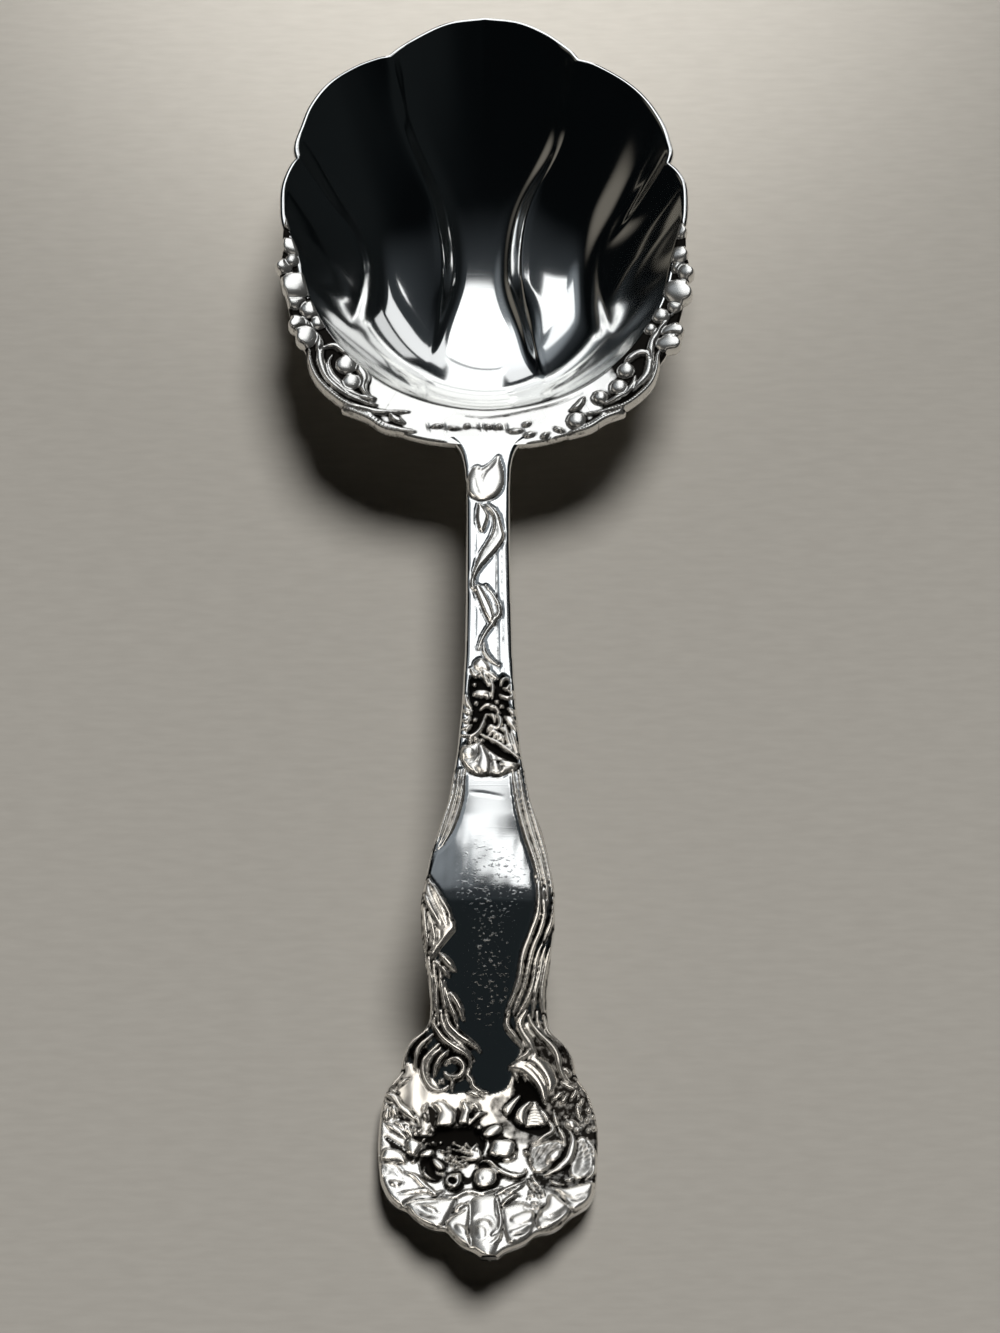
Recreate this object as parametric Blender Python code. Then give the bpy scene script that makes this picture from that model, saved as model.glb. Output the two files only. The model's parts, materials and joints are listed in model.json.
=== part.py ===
"""Berry spoon: a fluted, shell-lobed serving bowl on a cast-relief handle.

Lengths below are millimetres; MM turns them into metres. The spoon lies on
its back as it rests on a table: +Y runs from the handle's end to the bowl's
tip, +Z is up, and the origin is the middle of the footprint on the table.
"""

import math

import bmesh
import bpy
from mathutils import Matrix, Vector

MM = 0.001

# ---------------------------------------------------------------- sizes (mm)
LENGTH = 230.0            # overall, a nine inch serving spoon
TIP_Y = LENGTH / 2        # bowl's far tip
END_Y = -LENGTH / 2       # handle's end
BOWL_Y = 66.0             # middle of the rim, on the axis
DEEP_Y = 54.5             # deepest point of the bowl, nearer the heel
WALL = 1.3                # bowl sheet
TIP_Z = 21.3              # rim above the table at the tip
SIDE_FALL = 0.6           # how much lower the rim is at the sides
HEEL_FALL = 2.0           # and how much lower again at the heel
LEDGE = 0.5               # step from the border down to the bowl's edge
BOWL_FLAT = 0.17          # share of the radius that is flat underneath
BOWL_POWER = 1.75         # how fast the wall steepens
FLUTE_H = 1.3             # ridge between two flutes
FLUTE_W = 4.6             # half width of that ridge
SEAM = 0.4                # solder seam left between two pieces
BORDER_T = 2.2            # cast border
BAND_DEG = 152.0          # the front band runs from here round the heel
HANDLE_TOP_Y = 24.1       # neck, against the front band

# Rim lobes as (from angle, to angle, radius there, radius here, bulge), with
# angles measured from the bowl's tip round to the heel.
LOBES = (
    (0.0, 24.0, TIP_Y - BOWL_Y - 0.85, 41.7, 1.6),
    (24.0, 63.0, 41.7, 36.5, 3.0),
    (63.0, 96.0, 36.5, 33.0, 1.7),
)
LEDGE_R = ((96.0, 33.0), (125.0, 33.2), (150.0, 33.6), (180.0, 33.8))
BORDER_R = (
    (86.0, 36.3), (98.0, 37.2), (108.0, 37.8), (117.0, 38.5), (125.0, 39.4),
    (134.0, 40.5), (142.0, 40.8), (150.0, 41.4), (160.0, 41.7), (180.0, 41.3),
)
# Ridges between the flutes, right-hand side, in plan from rim to heel.
RIDGES = (
    ((17.2, 105.0), (13.0, 92.0), (8.6, 78.0), (7.2, 64.0), (8.6, 50.0), (12.0, 37.0)),
    ((33.0, 83.0), (27.0, 76.0), (22.6, 67.0), (21.4, 58.0), (23.6, 47.0)),
)

# Handle stations: (y, half width, top height, thickness). The stem is level,
# the panel runs down to the table and the end turns up a little.
HANDLE = (
    (24.1, 4.6, 18.96, 3.5), (21.5, 4.0, 19.0, 3.5), (17.8, 3.8, 19.1, 3.5),
    (13.0, 3.8, 19.25, 3.4), (5.7, 3.75, 19.5, 3.2), (-6.2, 3.85, 20.0, 3.1),
    (-15.8, 4.0, 20.25, 3.0), (-25.3, 4.5, 20.5, 2.9), (-34.6, 5.3, 20.65, 2.8),
    (-43.7, 6.8, 20.78, 2.7), (-49.1, 8.6, 20.9, 2.7), (-52.6, 9.5, 21.0, 2.6),
    (-57.8, 10.5, 21.1, 2.6), (-61.1, 10.9, 21.0, 2.6), (-65.8, 10.8, 19.55, 2.6),
    (-70.2, 10.0, 17.2, 2.6), (-74.5, 9.5, 14.4, 2.6), (-77.3, 9.3, 12.5, 2.7),
    (-79.5, 9.7, 11.0, 2.8), (-80.8, 11.8, 10.1, 2.8), (-83.0, 13.5, 8.6, 2.9),
    (-86.0, 14.0, 6.6, 3.1), (-87.4, 15.6, 5.9, 3.25), (-89.0, 16.6, 5.2, 3.4),
    (-93.4, 17.5, 4.2, 3.85), (-97.0, 17.6, 4.05, 4.05), (-103.2, 17.4, 5.0, 4.1),
    (-106.3, 16.2, 5.95, 4.0), (-108.4, 12.8, 6.7, 3.85), (-111.2, 7.6, 7.75, 3.65),
    (-113.6, 3.2, 8.7, 3.5), (-115.0, 1.1, 9.3, 3.4),
)
REST_FROM, REST_TO = -95.5, -102.5   # the handle's back is flat on the table between these
CROWN = 0.07              # cross fall of the handle's face, share of half width


# ------------------------------------------------------------------- helpers
def lookup(table, x, column=1):
    """Smooth interpolation (Catmull-Rom, limited) through a table sorted on its first column."""
    rows = sorted(table)
    if x <= rows[0][0]:
        return rows[0][column]
    if x >= rows[-1][0]:
        return rows[-1][column]
    i = max(k for k in range(len(rows) - 1) if rows[k][0] <= x)
    x0, x1 = rows[i][0], rows[i + 1][0]
    y0, y1 = rows[i][column], rows[i + 1][column]
    before, after = rows[max(i - 1, 0)], rows[min(i + 2, len(rows) - 1)]
    m0 = (y1 - before[column]) / (x1 - before[0])
    m1 = (after[column] - y0) / (after[0] - x0)
    h, t = x1 - x0, (x - x0) / (x1 - x0)
    y = ((2 * t**3 - 3 * t**2 + 1) * y0 + (t**3 - 2 * t**2 + t) * h * m0
         + (-2 * t**3 + 3 * t**2) * y1 + (t**3 - t**2) * h * m1)
    return min(max(y, min(y0, y1)), max(y0, y1))


def new_material(name, colour, roughness):
    material = bpy.data.materials.new(name)
    material.use_nodes = True
    shader = material.node_tree.nodes["Principled BSDF"]
    shader.inputs["Base Color"].default_value = (*colour, 1.0)
    shader.inputs["Metallic"].default_value = 1.0
    shader.inputs["Roughness"].default_value = roughness
    material.diffuse_color = (*colour, 1.0)
    return material


def add_object(name, bm, material):
    """The bmesh, in millimetres, as a named part in metres."""
    bmesh.ops.recalc_face_normals(bm, faces=bm.faces[:])
    bmesh.ops.scale(bm, vec=(MM, MM, MM), verts=bm.verts[:])
    mesh = bpy.data.meshes.new(name)
    bm.to_mesh(mesh)
    bm.free()
    mesh.shade_smooth()
    mesh.set_sharp_from_angle(angle=math.radians(40))
    mesh.materials.append(material)
    obj = bpy.data.objects.new(name, mesh)
    parts.objects.link(obj)
    obj.parent = spoon
    return obj


def add_slab(name, across, along, top, bottom, material):
    """A closed plate: a grid primitive extruded, its two faces shaped by top(u, v) and bottom(u, v), u and v from -1 to 1."""
    bm = bmesh.new()
    bmesh.ops.create_grid(bm, x_segments=across, y_segments=along, size=1.0)
    lower = bm.verts[:]
    made = bmesh.ops.extrude_face_region(bm, geom=bm.faces[:], use_keep_orig=True)
    upper = [v for v in made["geom"] if isinstance(v, bmesh.types.BMVert)]
    for v in lower:
        v.co = bottom(v.co.x, v.co.y)
    for v in upper:
        v.co = top(v.co.x, v.co.y)
    return add_object(name, bm, material)


def add_vine(name, points, radius, material, sides=2):
    """A tapering wire through (x, y, share of radius) plan points, laid on the handle's face and welded into a mesh."""
    curve = bpy.data.curves.new(name + "_path", "CURVE")
    curve.dimensions = "3D"
    curve.bevel_depth = radius * MM
    curve.bevel_resolution = sides
    curve.use_fill_caps = True
    smooth = spline_through(points, 4)
    spline = curve.splines.new("POLY")
    spline.points.add(len(smooth) - 1)
    for point, (x, y, share) in zip(spline.points, smooth):
        z = face_z(x, y) + SEAM + radius
        point.co = (x * MM, y * MM, z * MM, 1.0)
        point.radius = share
    guide = bpy.data.objects.new(name + "_path", curve)
    bpy.context.scene.collection.objects.link(guide)
    mesh = bpy.data.meshes.new_from_object(guide.evaluated_get(bpy.context.evaluated_depsgraph_get()))
    bpy.data.objects.remove(guide)
    bm = bmesh.new()
    bm.from_mesh(mesh)
    bpy.data.meshes.remove(mesh)
    bmesh.ops.remove_doubles(bm, verts=bm.verts[:], dist=1e-6)
    bmesh.ops.scale(bm, vec=(1 / MM, 1 / MM, 1 / MM), verts=bm.verts[:])
    return add_object(name, bm, material)


def spline_through(points, steps):
    """Catmull-Rom points through the given ones."""
    found = []
    for i in range(len(points) - 1):
        a, b = points[max(i - 1, 0)], points[i]
        c, d = points[i + 1], points[min(i + 2, len(points) - 1)]
        for k in range(steps):
            t = k / steps
            found.append(tuple(
                0.5 * (2 * b[j] + (c[j] - a[j]) * t + (2 * a[j] - 5 * b[j] + 4 * c[j] - d[j]) * t**2
                       + (3 * b[j] - a[j] - 3 * c[j] + d[j]) * t**3)
                for j in range(len(b))))
    found.append(tuple(points[-1]))
    return found


def add_flower(name, x, y, width, length, petals, height, deep, material, lift=0.0, around=24):
    """A lobed boss: a sphere primitive flattened, its plan cut into petals and its middle dished, tilted to the handle's face."""
    bm = bmesh.new()
    bmesh.ops.create_uvsphere(bm, u_segments=around, v_segments=8, radius=1.0)
    for v in bm.verts:
        r, a = math.hypot(v.co.x, v.co.y), math.atan2(v.co.y, v.co.x)
        lobe = 1.0 - deep * (1 - abs(math.cos(petals * a / 2)))
        up = v.co.z * (1.0 if v.co.z > 0 else 0.2)
        dish = 0.35 * max(0.0, 1 - 2.2 * r) if v.co.z > 0 else 0.0
        v.co = Vector((r * math.cos(a) * lobe * width / 2, r * math.sin(a) * lobe * length / 2, (up - dish) * height))
    slope = (face_z(x, y + length / 2) - face_z(x, y - length / 2)) / length
    lowest = min(
        v.co.z - (face_z(x + v.co.x, y + v.co.y) - face_z(x, y) - slope * v.co.y) for v in bm.verts)
    turn = Matrix.Rotation(math.atan(slope), 4, "X")
    place = Matrix.Translation((x, y, face_z(x, y) + SEAM + 0.1 - lowest + lift))
    bmesh.ops.transform(bm, matrix=place @ turn, verts=bm.verts[:])
    return add_object(name, bm, material)


# ---------------------------------------------------------------- bowl shape
def edge_radius(deg):
    """Plan radius of the bowl sheet's edge, at an angle from the tip."""
    deg = abs((deg + 180) % 360 - 180)
    for start, end, r0, r1, bulge in LOBES:
        if deg <= end:
            t = (deg - start) / (end - start)
            if start == 0.0:  # the middle lobe is one arc across the axis
                return r1 + (r0 - r1) * (1 - t * t) ** 0.8 + bulge * t * (1 - t)
            return r0 + (r1 - r0) * t + bulge * math.sin(math.pi * t) ** 0.8
    return lookup(LEDGE_R, deg)


def ease(x, lo, hi):
    t = min(max((x - lo) / (hi - lo), 0.0), 1.0)
    return t * t * (3 - 2 * t)


def rim_z(deg):
    """Height of the rim, falling from the tip to the heel."""
    deg = abs((deg + 180) % 360 - 180)
    return TIP_Z - SIDE_FALL * ease(deg, 30, 90) - HEEL_FALL * ease(deg, 90, 165)


def edge_z(deg):
    """Height of the sheet's edge: the open rim at the lobes, the border's ledge round the heel."""
    return rim_z(deg) - LEDGE * ease(abs((deg + 180) % 360 - 180), 70, 110)


def ridge(x, y):
    """Height of the ridges between the flutes at a plan point."""
    best = 0.0
    for line in RIDGES:
        smooth = spline_through(line, 3)
        for i in range(len(smooth) - 1):
            (ax, ay), (bx, by) = smooth[i], smooth[i + 1]
            dx, dy = bx - ax, by - ay
            t = min(max(((abs(x) - ax) * dx + (y - ay) * dy) / (dx * dx + dy * dy), 0.0), 1.0)
            d = math.hypot(abs(x) - ax - t * dx, y - ay - t * dy)
            along = (i + t) / (len(smooth) - 1)
            height = FLUTE_H * min(1.0, 2.6 * (1 - along)) * min(1.0, 0.35 + 2.5 * along)
            if d < FLUTE_W:
                best = max(best, height * (1 - d / FLUTE_W) ** 2)
    return best


def inner_point(s, deg, fluted=True):
    """A point of the bowl's inside: s is 0 at the deepest point and 1 at the edge."""
    a = math.radians(deg)
    r = s * edge_radius(deg)
    x, y = r * math.sin(a), DEEP_Y + (BOWL_Y - DEEP_Y) * s + r * math.cos(a)
    g = (max(s - BOWL_FLAT, 0.0) / (1 - BOWL_FLAT)) ** BOWL_POWER
    z = WALL + (edge_z(deg) - WALL) * g
    return Vector((x, y, z + (ridge(x, y) * min(1.0, 4 * max(s - 0.2, 0)) if fluted else 0.0)))


def outer_point(s, deg, gap=0.0):
    """The same point on the outside: one wall thickness, and any gap, along the normal."""
    ds, da = 0.02, 2.0
    p = inner_point(s, deg)
    along = inner_point(min(s + ds, 1.0), deg, False) - inner_point(max(s - ds, 0.0), deg, False)
    round_ = inner_point(s, deg + da, False) - inner_point(s, deg - da, False)
    n = round_.cross(along)
    if s < BOWL_FLAT + 0.01 or n.length < 1e-9:
        n = Vector((0, 0, 1))
    n.normalize()
    if n.z < 0:
        n = -n
    q = p - n * (WALL + gap)
    q.z = max(q.z, 0.0 if gap == 0 else q.z)
    return q


# -------------------------------------------------------------- handle shape
def face_z(x, y):
    """Height of the handle's crowned face."""
    half = lookup(HANDLE, y, 1)
    u = max(-1.0, min(1.0, x / half))
    return lookup(HANDLE, y, 2) - CROWN * half * u * u


# --------------------------------------------------------------------- build
for old in list(bpy.data.objects):
    bpy.data.objects.remove(old, do_unlink=True)

parts = bpy.data.collections.new("berry_spoon")
bpy.context.scene.collection.children.link(parts)
spoon = bpy.data.objects.new("spoon_frame", None)
parts.objects.link(spoon)

silver = new_material("polished_silver", (0.92, 0.91, 0.88), 0.12)
relief = new_material("oxidised_silver", (0.80, 0.78, 0.74), 0.28)

# Bowl: a sphere primitive pushed in on itself. Its lower half becomes the
# outside, its upper half the inside, and its equator the rim.
RINGS = 12
bm = bmesh.new()
bmesh.ops.create_uvsphere(bm, u_segments=72, v_segments=2 * RINGS + 2, radius=1.0)
for v in bm.verts:
    latitude = math.degrees(math.asin(max(-1.0, min(1.0, v.co.z))))
    ring = round((latitude + 90) / 180 * (2 * RINGS + 2))
    deg = math.degrees(math.atan2(v.co.x, v.co.y))
    if ring <= RINGS:
        v.co = outer_point(ring / RINGS, deg)
    elif ring == RINGS + 1:
        v.co = (outer_point(1.0, deg) + inner_point(1.0, deg)) / 2
        v.co.z = inner_point(1.0, deg).z - 0.15
    else:
        v.co = inner_point((2 * RINGS + 2 - ring) / RINGS, deg)
foot = [f for f in bm.faces if all(v.co.z < 1e-5 for v in f.verts)]
bmesh.ops.dissolve_faces(bm, faces=foot, use_verts=True)  # one flat face to rest on
add_object("bowl", bm, silver)


def border_point(deg, u, top, beads):
    """A point of the border between the bowl's ledge (u = -1) and its outer edge (u = 1)."""
    size = abs((deg + 180) % 360 - 180)
    inside = outer_point(1.0, deg)
    r0 = math.hypot(inside.x, inside.y - BOWL_Y) + SEAM
    r1 = max(lookup(BORDER_R, size), r0 + 1.0)
    k = (u + 1) / 2
    r = r0 + (r1 - r0) * k
    a = math.radians(deg)
    z0 = edge_z(deg) + 0.1
    z = z0 + (rim_z(deg) - z0) * k
    if top:
        z += beads * 0.9 * abs(math.sin(math.radians(deg) * 21)) * math.sin(math.pi * k)
        z += 0.5 * k
    else:
        z -= BORDER_T * (0.75 + 0.25 * math.sin(math.pi * k))
    return Vector((r * math.sin(a), BOWL_Y + r * math.cos(a), z))


def add_border(name, start, end, along, beads):
    def at(u, v, top):
        return border_point(start + (end - start) * (v + 1) / 2, u, top, beads)
    return add_slab(name, 4, along, lambda u, v: at(u, v, True), lambda u, v: at(u, v, False), relief)


add_border("rim_scroll_right", 88.0, BAND_DEG, 44, 1.0)
add_border("rim_scroll_left", -88.0, -BAND_DEG, 44, 1.0)
add_border("rim_band_front", BAND_DEG + 0.8, 360 - BAND_DEG - 0.8, 26, 0.25)


# Handle: one forging from the neck to the scalloped end, its back flat where
# it meets the table.
def handle_y(v):
    return END_Y + (HANDLE_TOP_Y - END_Y) * (v + 1) / 2


def handle_top(u, v):
    y = handle_y(v)
    x = u * lookup(HANDLE, y, 1)
    return Vector((x, y, face_z(x, y) - (0.45 if abs(u) > 0.99 else 0.0)))


def handle_back(u, v):
    y = handle_y(v)
    x = u * lookup(HANDLE, y, 1) * 0.97
    back = lookup(HANDLE, y, 2) - lookup(HANDLE, y, 3) + 0.35 * u * u
    return Vector((x, y, 0.0 if REST_TO <= y <= REST_FROM else max(back, 0.0)))


add_slab("handle_blank", 8, 74, handle_top, handle_back, silver)


# Heel tongue: laps under the neck and the front band, then runs down the
# bowl's back, where the bowl and the handle are soldered together.
def tongue_point(u, v, drop):
    y = 14.0 + 25.0 * (v + 1) / 2
    x = u * (3.3 - 1.6 * ((v + 1) / 2) ** 2) * (0.55 + 0.45 * ease(v, -1.0, -0.7))
    neck = lookup(HANDLE, min(y, HANDLE_TOP_Y), 2) - lookup(HANDLE, min(y, HANDLE_TOP_Y), 3) - SEAM
    z = min(neck, rim_z(180) - BORDER_T - 0.6)
    # the loop of the bowl that passes over this point
    s = 1.0
    for _ in range(30):
        middle = DEEP_Y + (BOWL_Y - DEEP_Y) * s
        deg = math.degrees(math.atan2(x, y - middle))
        s = 0.5 * s + 0.5 * min(math.hypot(x, y - middle) / edge_radius(deg), 1.2)
    if s < 1.0:
        n = inner_point(s, deg, False) - outer_point(s, deg)
        steep = max(n.z / n.length, 0.3) if n.length else 1.0
        z = min(z, inner_point(s, deg, False).z - (WALL + SEAM + 0.2) / steep)
    thick = 1.5 * (1.0 - 0.45 * max(v, 0.0)) * (1.25 if s < 1.0 else 1.0) * (0.3 + 0.7 * ease(v, -1.0, -0.5))
    return Vector((x, y, z - (thick * (1 - 0.3 * u * u) if drop else 0.0)))


add_slab("heel_tongue", 4, 24, lambda u, v: tongue_point(u, v, False), lambda u, v: tongue_point(u, v, True), silver)

# Relief on the handle, from the neck to the end.
add_flower("stem_bud", 0.2, 15.6, 5.0, 7.6, 3, 0.9, 0.25, relief, around=18)
add_vine("stem_vine", (
    (-0.4, 10.4, 0.5), (1.5, 7.0, 1.0), (1.2, 3.0, 1.2), (-1.4, -2.0, 1.0), (-2.1, -5.0, 0.8),
    (-0.6, -8.0, 0.9), (1.3, -11.6, 0.9), (-0.2, -15.0, 0.7), (-0.9, -18.4, 0.4)), 0.6, relief)
add_flower("stem_blossom", 0.0, -29.6, 8.4, 17.0, 6, 1.1, 0.35, relief, around=24)

left_vine = (
    (-4.7, -41.0, 0.8), (-6.6, -46.5, 0.9), (-8.6, -52.0, 1.0), (-9.2, -58.0, 1.1), (-9.0, -64.0, 1.1),
    (-8.0, -70.0, 1.1), (-7.3, -76.0, 1.0), (-5.4, -80.6, 0.8))
add_vine("edge_vine_left", left_vine, 0.8, relief)
add_vine("edge_vine_right", tuple((-x, y, share) for x, y, share in left_vine), 0.8, relief)

add_vine("shoulder_curl_left", (
    (-8.6, -80.8, 0.7), (-11.4, -82.8, 1.0), (-12.2, -85.6, 1.1), (-10.4, -88.0, 1.0),
    (-7.8, -88.0, 0.9), (-7.0, -86.0, 0.6)), 0.8, relief)
add_vine("shoulder_curl_right", (
    (8.6, -80.8, 0.7), (11.6, -83.2, 1.0), (13.2, -86.8, 1.1), (14.8, -90.6, 1.1),
    (15.2, -95.0, 0.9), (13.6, -98.6, 0.6)), 0.8, relief)
add_flower("terminal_blossom", -4.2, -96.6, 19.0, 13.4, 8, 1.5, 0.2, relief, around=32)
add_flower("blossom_stamens", -4.2, -96.6, 6.4, 4.4, 7, 0.8, 0.3, relief, lift=2.4, around=21)
add_flower("terminal_leaf_right", 10.2, -95.6, 5.6, 9.0, 3, 1.2, 0.25, relief, around=18)
add_flower("terminal_leaf_front", 0.3, -108.4, 19.0, 6.0, 5, 1.0, 0.22, relief, around=30)
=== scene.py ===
import json
import math

import bpy
import numpy as np
from mathutils import Matrix, Vector

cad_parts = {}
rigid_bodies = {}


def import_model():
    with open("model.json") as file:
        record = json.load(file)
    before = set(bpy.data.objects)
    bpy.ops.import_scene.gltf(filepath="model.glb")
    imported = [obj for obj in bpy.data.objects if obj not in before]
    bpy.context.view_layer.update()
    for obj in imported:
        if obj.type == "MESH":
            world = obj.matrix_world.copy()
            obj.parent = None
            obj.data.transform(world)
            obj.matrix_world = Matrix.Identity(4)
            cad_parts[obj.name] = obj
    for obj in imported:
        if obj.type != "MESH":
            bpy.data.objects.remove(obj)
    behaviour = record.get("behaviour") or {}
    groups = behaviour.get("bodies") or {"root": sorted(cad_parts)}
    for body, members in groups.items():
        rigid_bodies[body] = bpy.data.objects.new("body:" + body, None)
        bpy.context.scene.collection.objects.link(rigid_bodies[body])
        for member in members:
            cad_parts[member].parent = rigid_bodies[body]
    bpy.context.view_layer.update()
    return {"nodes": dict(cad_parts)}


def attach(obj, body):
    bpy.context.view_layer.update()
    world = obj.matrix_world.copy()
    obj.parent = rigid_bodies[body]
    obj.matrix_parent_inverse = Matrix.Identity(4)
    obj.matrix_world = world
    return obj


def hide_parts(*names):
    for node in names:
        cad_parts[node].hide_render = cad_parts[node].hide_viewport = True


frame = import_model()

# ------------------------------------------------------------------ the view
# All modelling below is in millimetres, in the part's own frame.
YAW = math.radians(-0.3)
CAM = np.array([2.164, -284.627, 541.755])
AIM = np.array([2.164, -8.589, 0.0])
FOCAL = 3500.0            # pixels, for a 1000 x 1333 image
turn = np.array([[math.cos(YAW), -math.sin(YAW), 0], [math.sin(YAW), math.cos(YAW), 0], [0, 0, 1]])
CAM, AIM = turn @ CAM, turn @ AIM
RIGHT = turn @ np.array([1.0, 0, 0])
FORWARD = (AIM - CAM) / np.linalg.norm(AIM - CAM)
UP = np.cross(RIGHT, FORWARD)


def on_surface(px, py, height):
    """Plan point of the surface z = height(x, y) that shows at an image point."""
    d = FORWARD * FOCAL + RIGHT * (px - 500.0) - UP * (py - 666.5)
    z = 10.0
    for _ in range(12):
        p = CAM + d * ((z - CAM[2]) / d[2])
        z = 0.5 * z + 0.5 * float(height(p[0], p[1]))
    return p[0], p[1]


# --------------------------------------------------------------- small tools
def spline(points, steps=12, closed=False):
    """Catmull-Rom curve through points (rows of any width)."""
    p = np.asarray(points, float)
    if len(p) < 3:
        t = np.linspace(0, 1, steps + 1)[:, None]
        return p[0] * (1 - t) + p[-1] * t
    if closed:
        q = np.vstack([p[-1:], p, p[:2]])
    else:
        q = np.vstack([2 * p[0] - p[1], p, 2 * p[-1] - p[-2]])
    out = []
    for i in range(1, len(q) - 2):
        a, b, c, d = q[i - 1], q[i], q[i + 1], q[i + 2]
        t = np.linspace(0, 1, steps, endpoint=False)[:, None]
        out.append(0.5 * (2 * b + (c - a) * t + (2 * a - 5 * b + 4 * c - d) * t**2 + (3 * b - a - 3 * c + d) * t**3))
    if not closed:
        out.append(p[-1:])
    return np.vstack(out)


def smoothstep(x, lo, hi):
    t = np.clip((x - lo) / (hi - lo), 0, 1)
    return t * t * (3 - 2 * t)


def rounded(q, radius):
    """Height share of a rounded edge at depth q inside an outline."""
    t = 1 - np.clip(q / radius, 0, 1)
    return np.sqrt(np.clip(1 - t * t, 0, 1))


def to_line(x, y, line, sided=False):
    """Distance to a polyline, the share of its length at the nearest point, and the side (1 is left of its run)."""
    line = np.asarray(line, float)
    best = np.full(x.shape, 1e9)
    share, side = np.zeros(x.shape), np.ones(x.shape)
    seg = np.hypot(*(line[1:, :2] - line[:-1, :2]).T)
    run = np.concatenate([[0], np.cumsum(seg)]) / max(seg.sum(), 1e-9)
    for i in range(len(line) - 1):
        ax, ay = line[i, :2]
        dx, dy = line[i + 1, 0] - ax, line[i + 1, 1] - ay
        n = dx * dx + dy * dy
        if n < 1e-12:
            continue
        t = np.clip(((x - ax) * dx + (y - ay) * dy) / n, 0, 1)
        d = np.hypot(x - ax - t * dx, y - ay - t * dy)
        hit = d < best
        best = np.where(hit, d, best)
        share = np.where(hit, run[i] + t * (run[i + 1] - run[i]), share)
        side = np.where(hit, np.sign(dx * (y - ay) - dy * (x - ax)), side)
    return (best, share, side) if sided else (best, share)


def blur(a, sigma):
    """Separable Gaussian blur, sigma in cells."""
    r = max(1, int(3 * sigma))
    k = np.exp(-0.5 * (np.arange(-r, r + 1) / sigma) ** 2)
    k /= k.sum()
    for axis in (0, 1):
        pad = [(r, r) if i == axis else (0, 0) for i in (0, 1)]
        b = np.pad(a, pad, mode="edge")
        a = sum(k[i] * (b[i:i + a.shape[0]] if axis == 0 else b[:, i:i + a.shape[1]]) for i in range(2 * r + 1))
    return a


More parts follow.
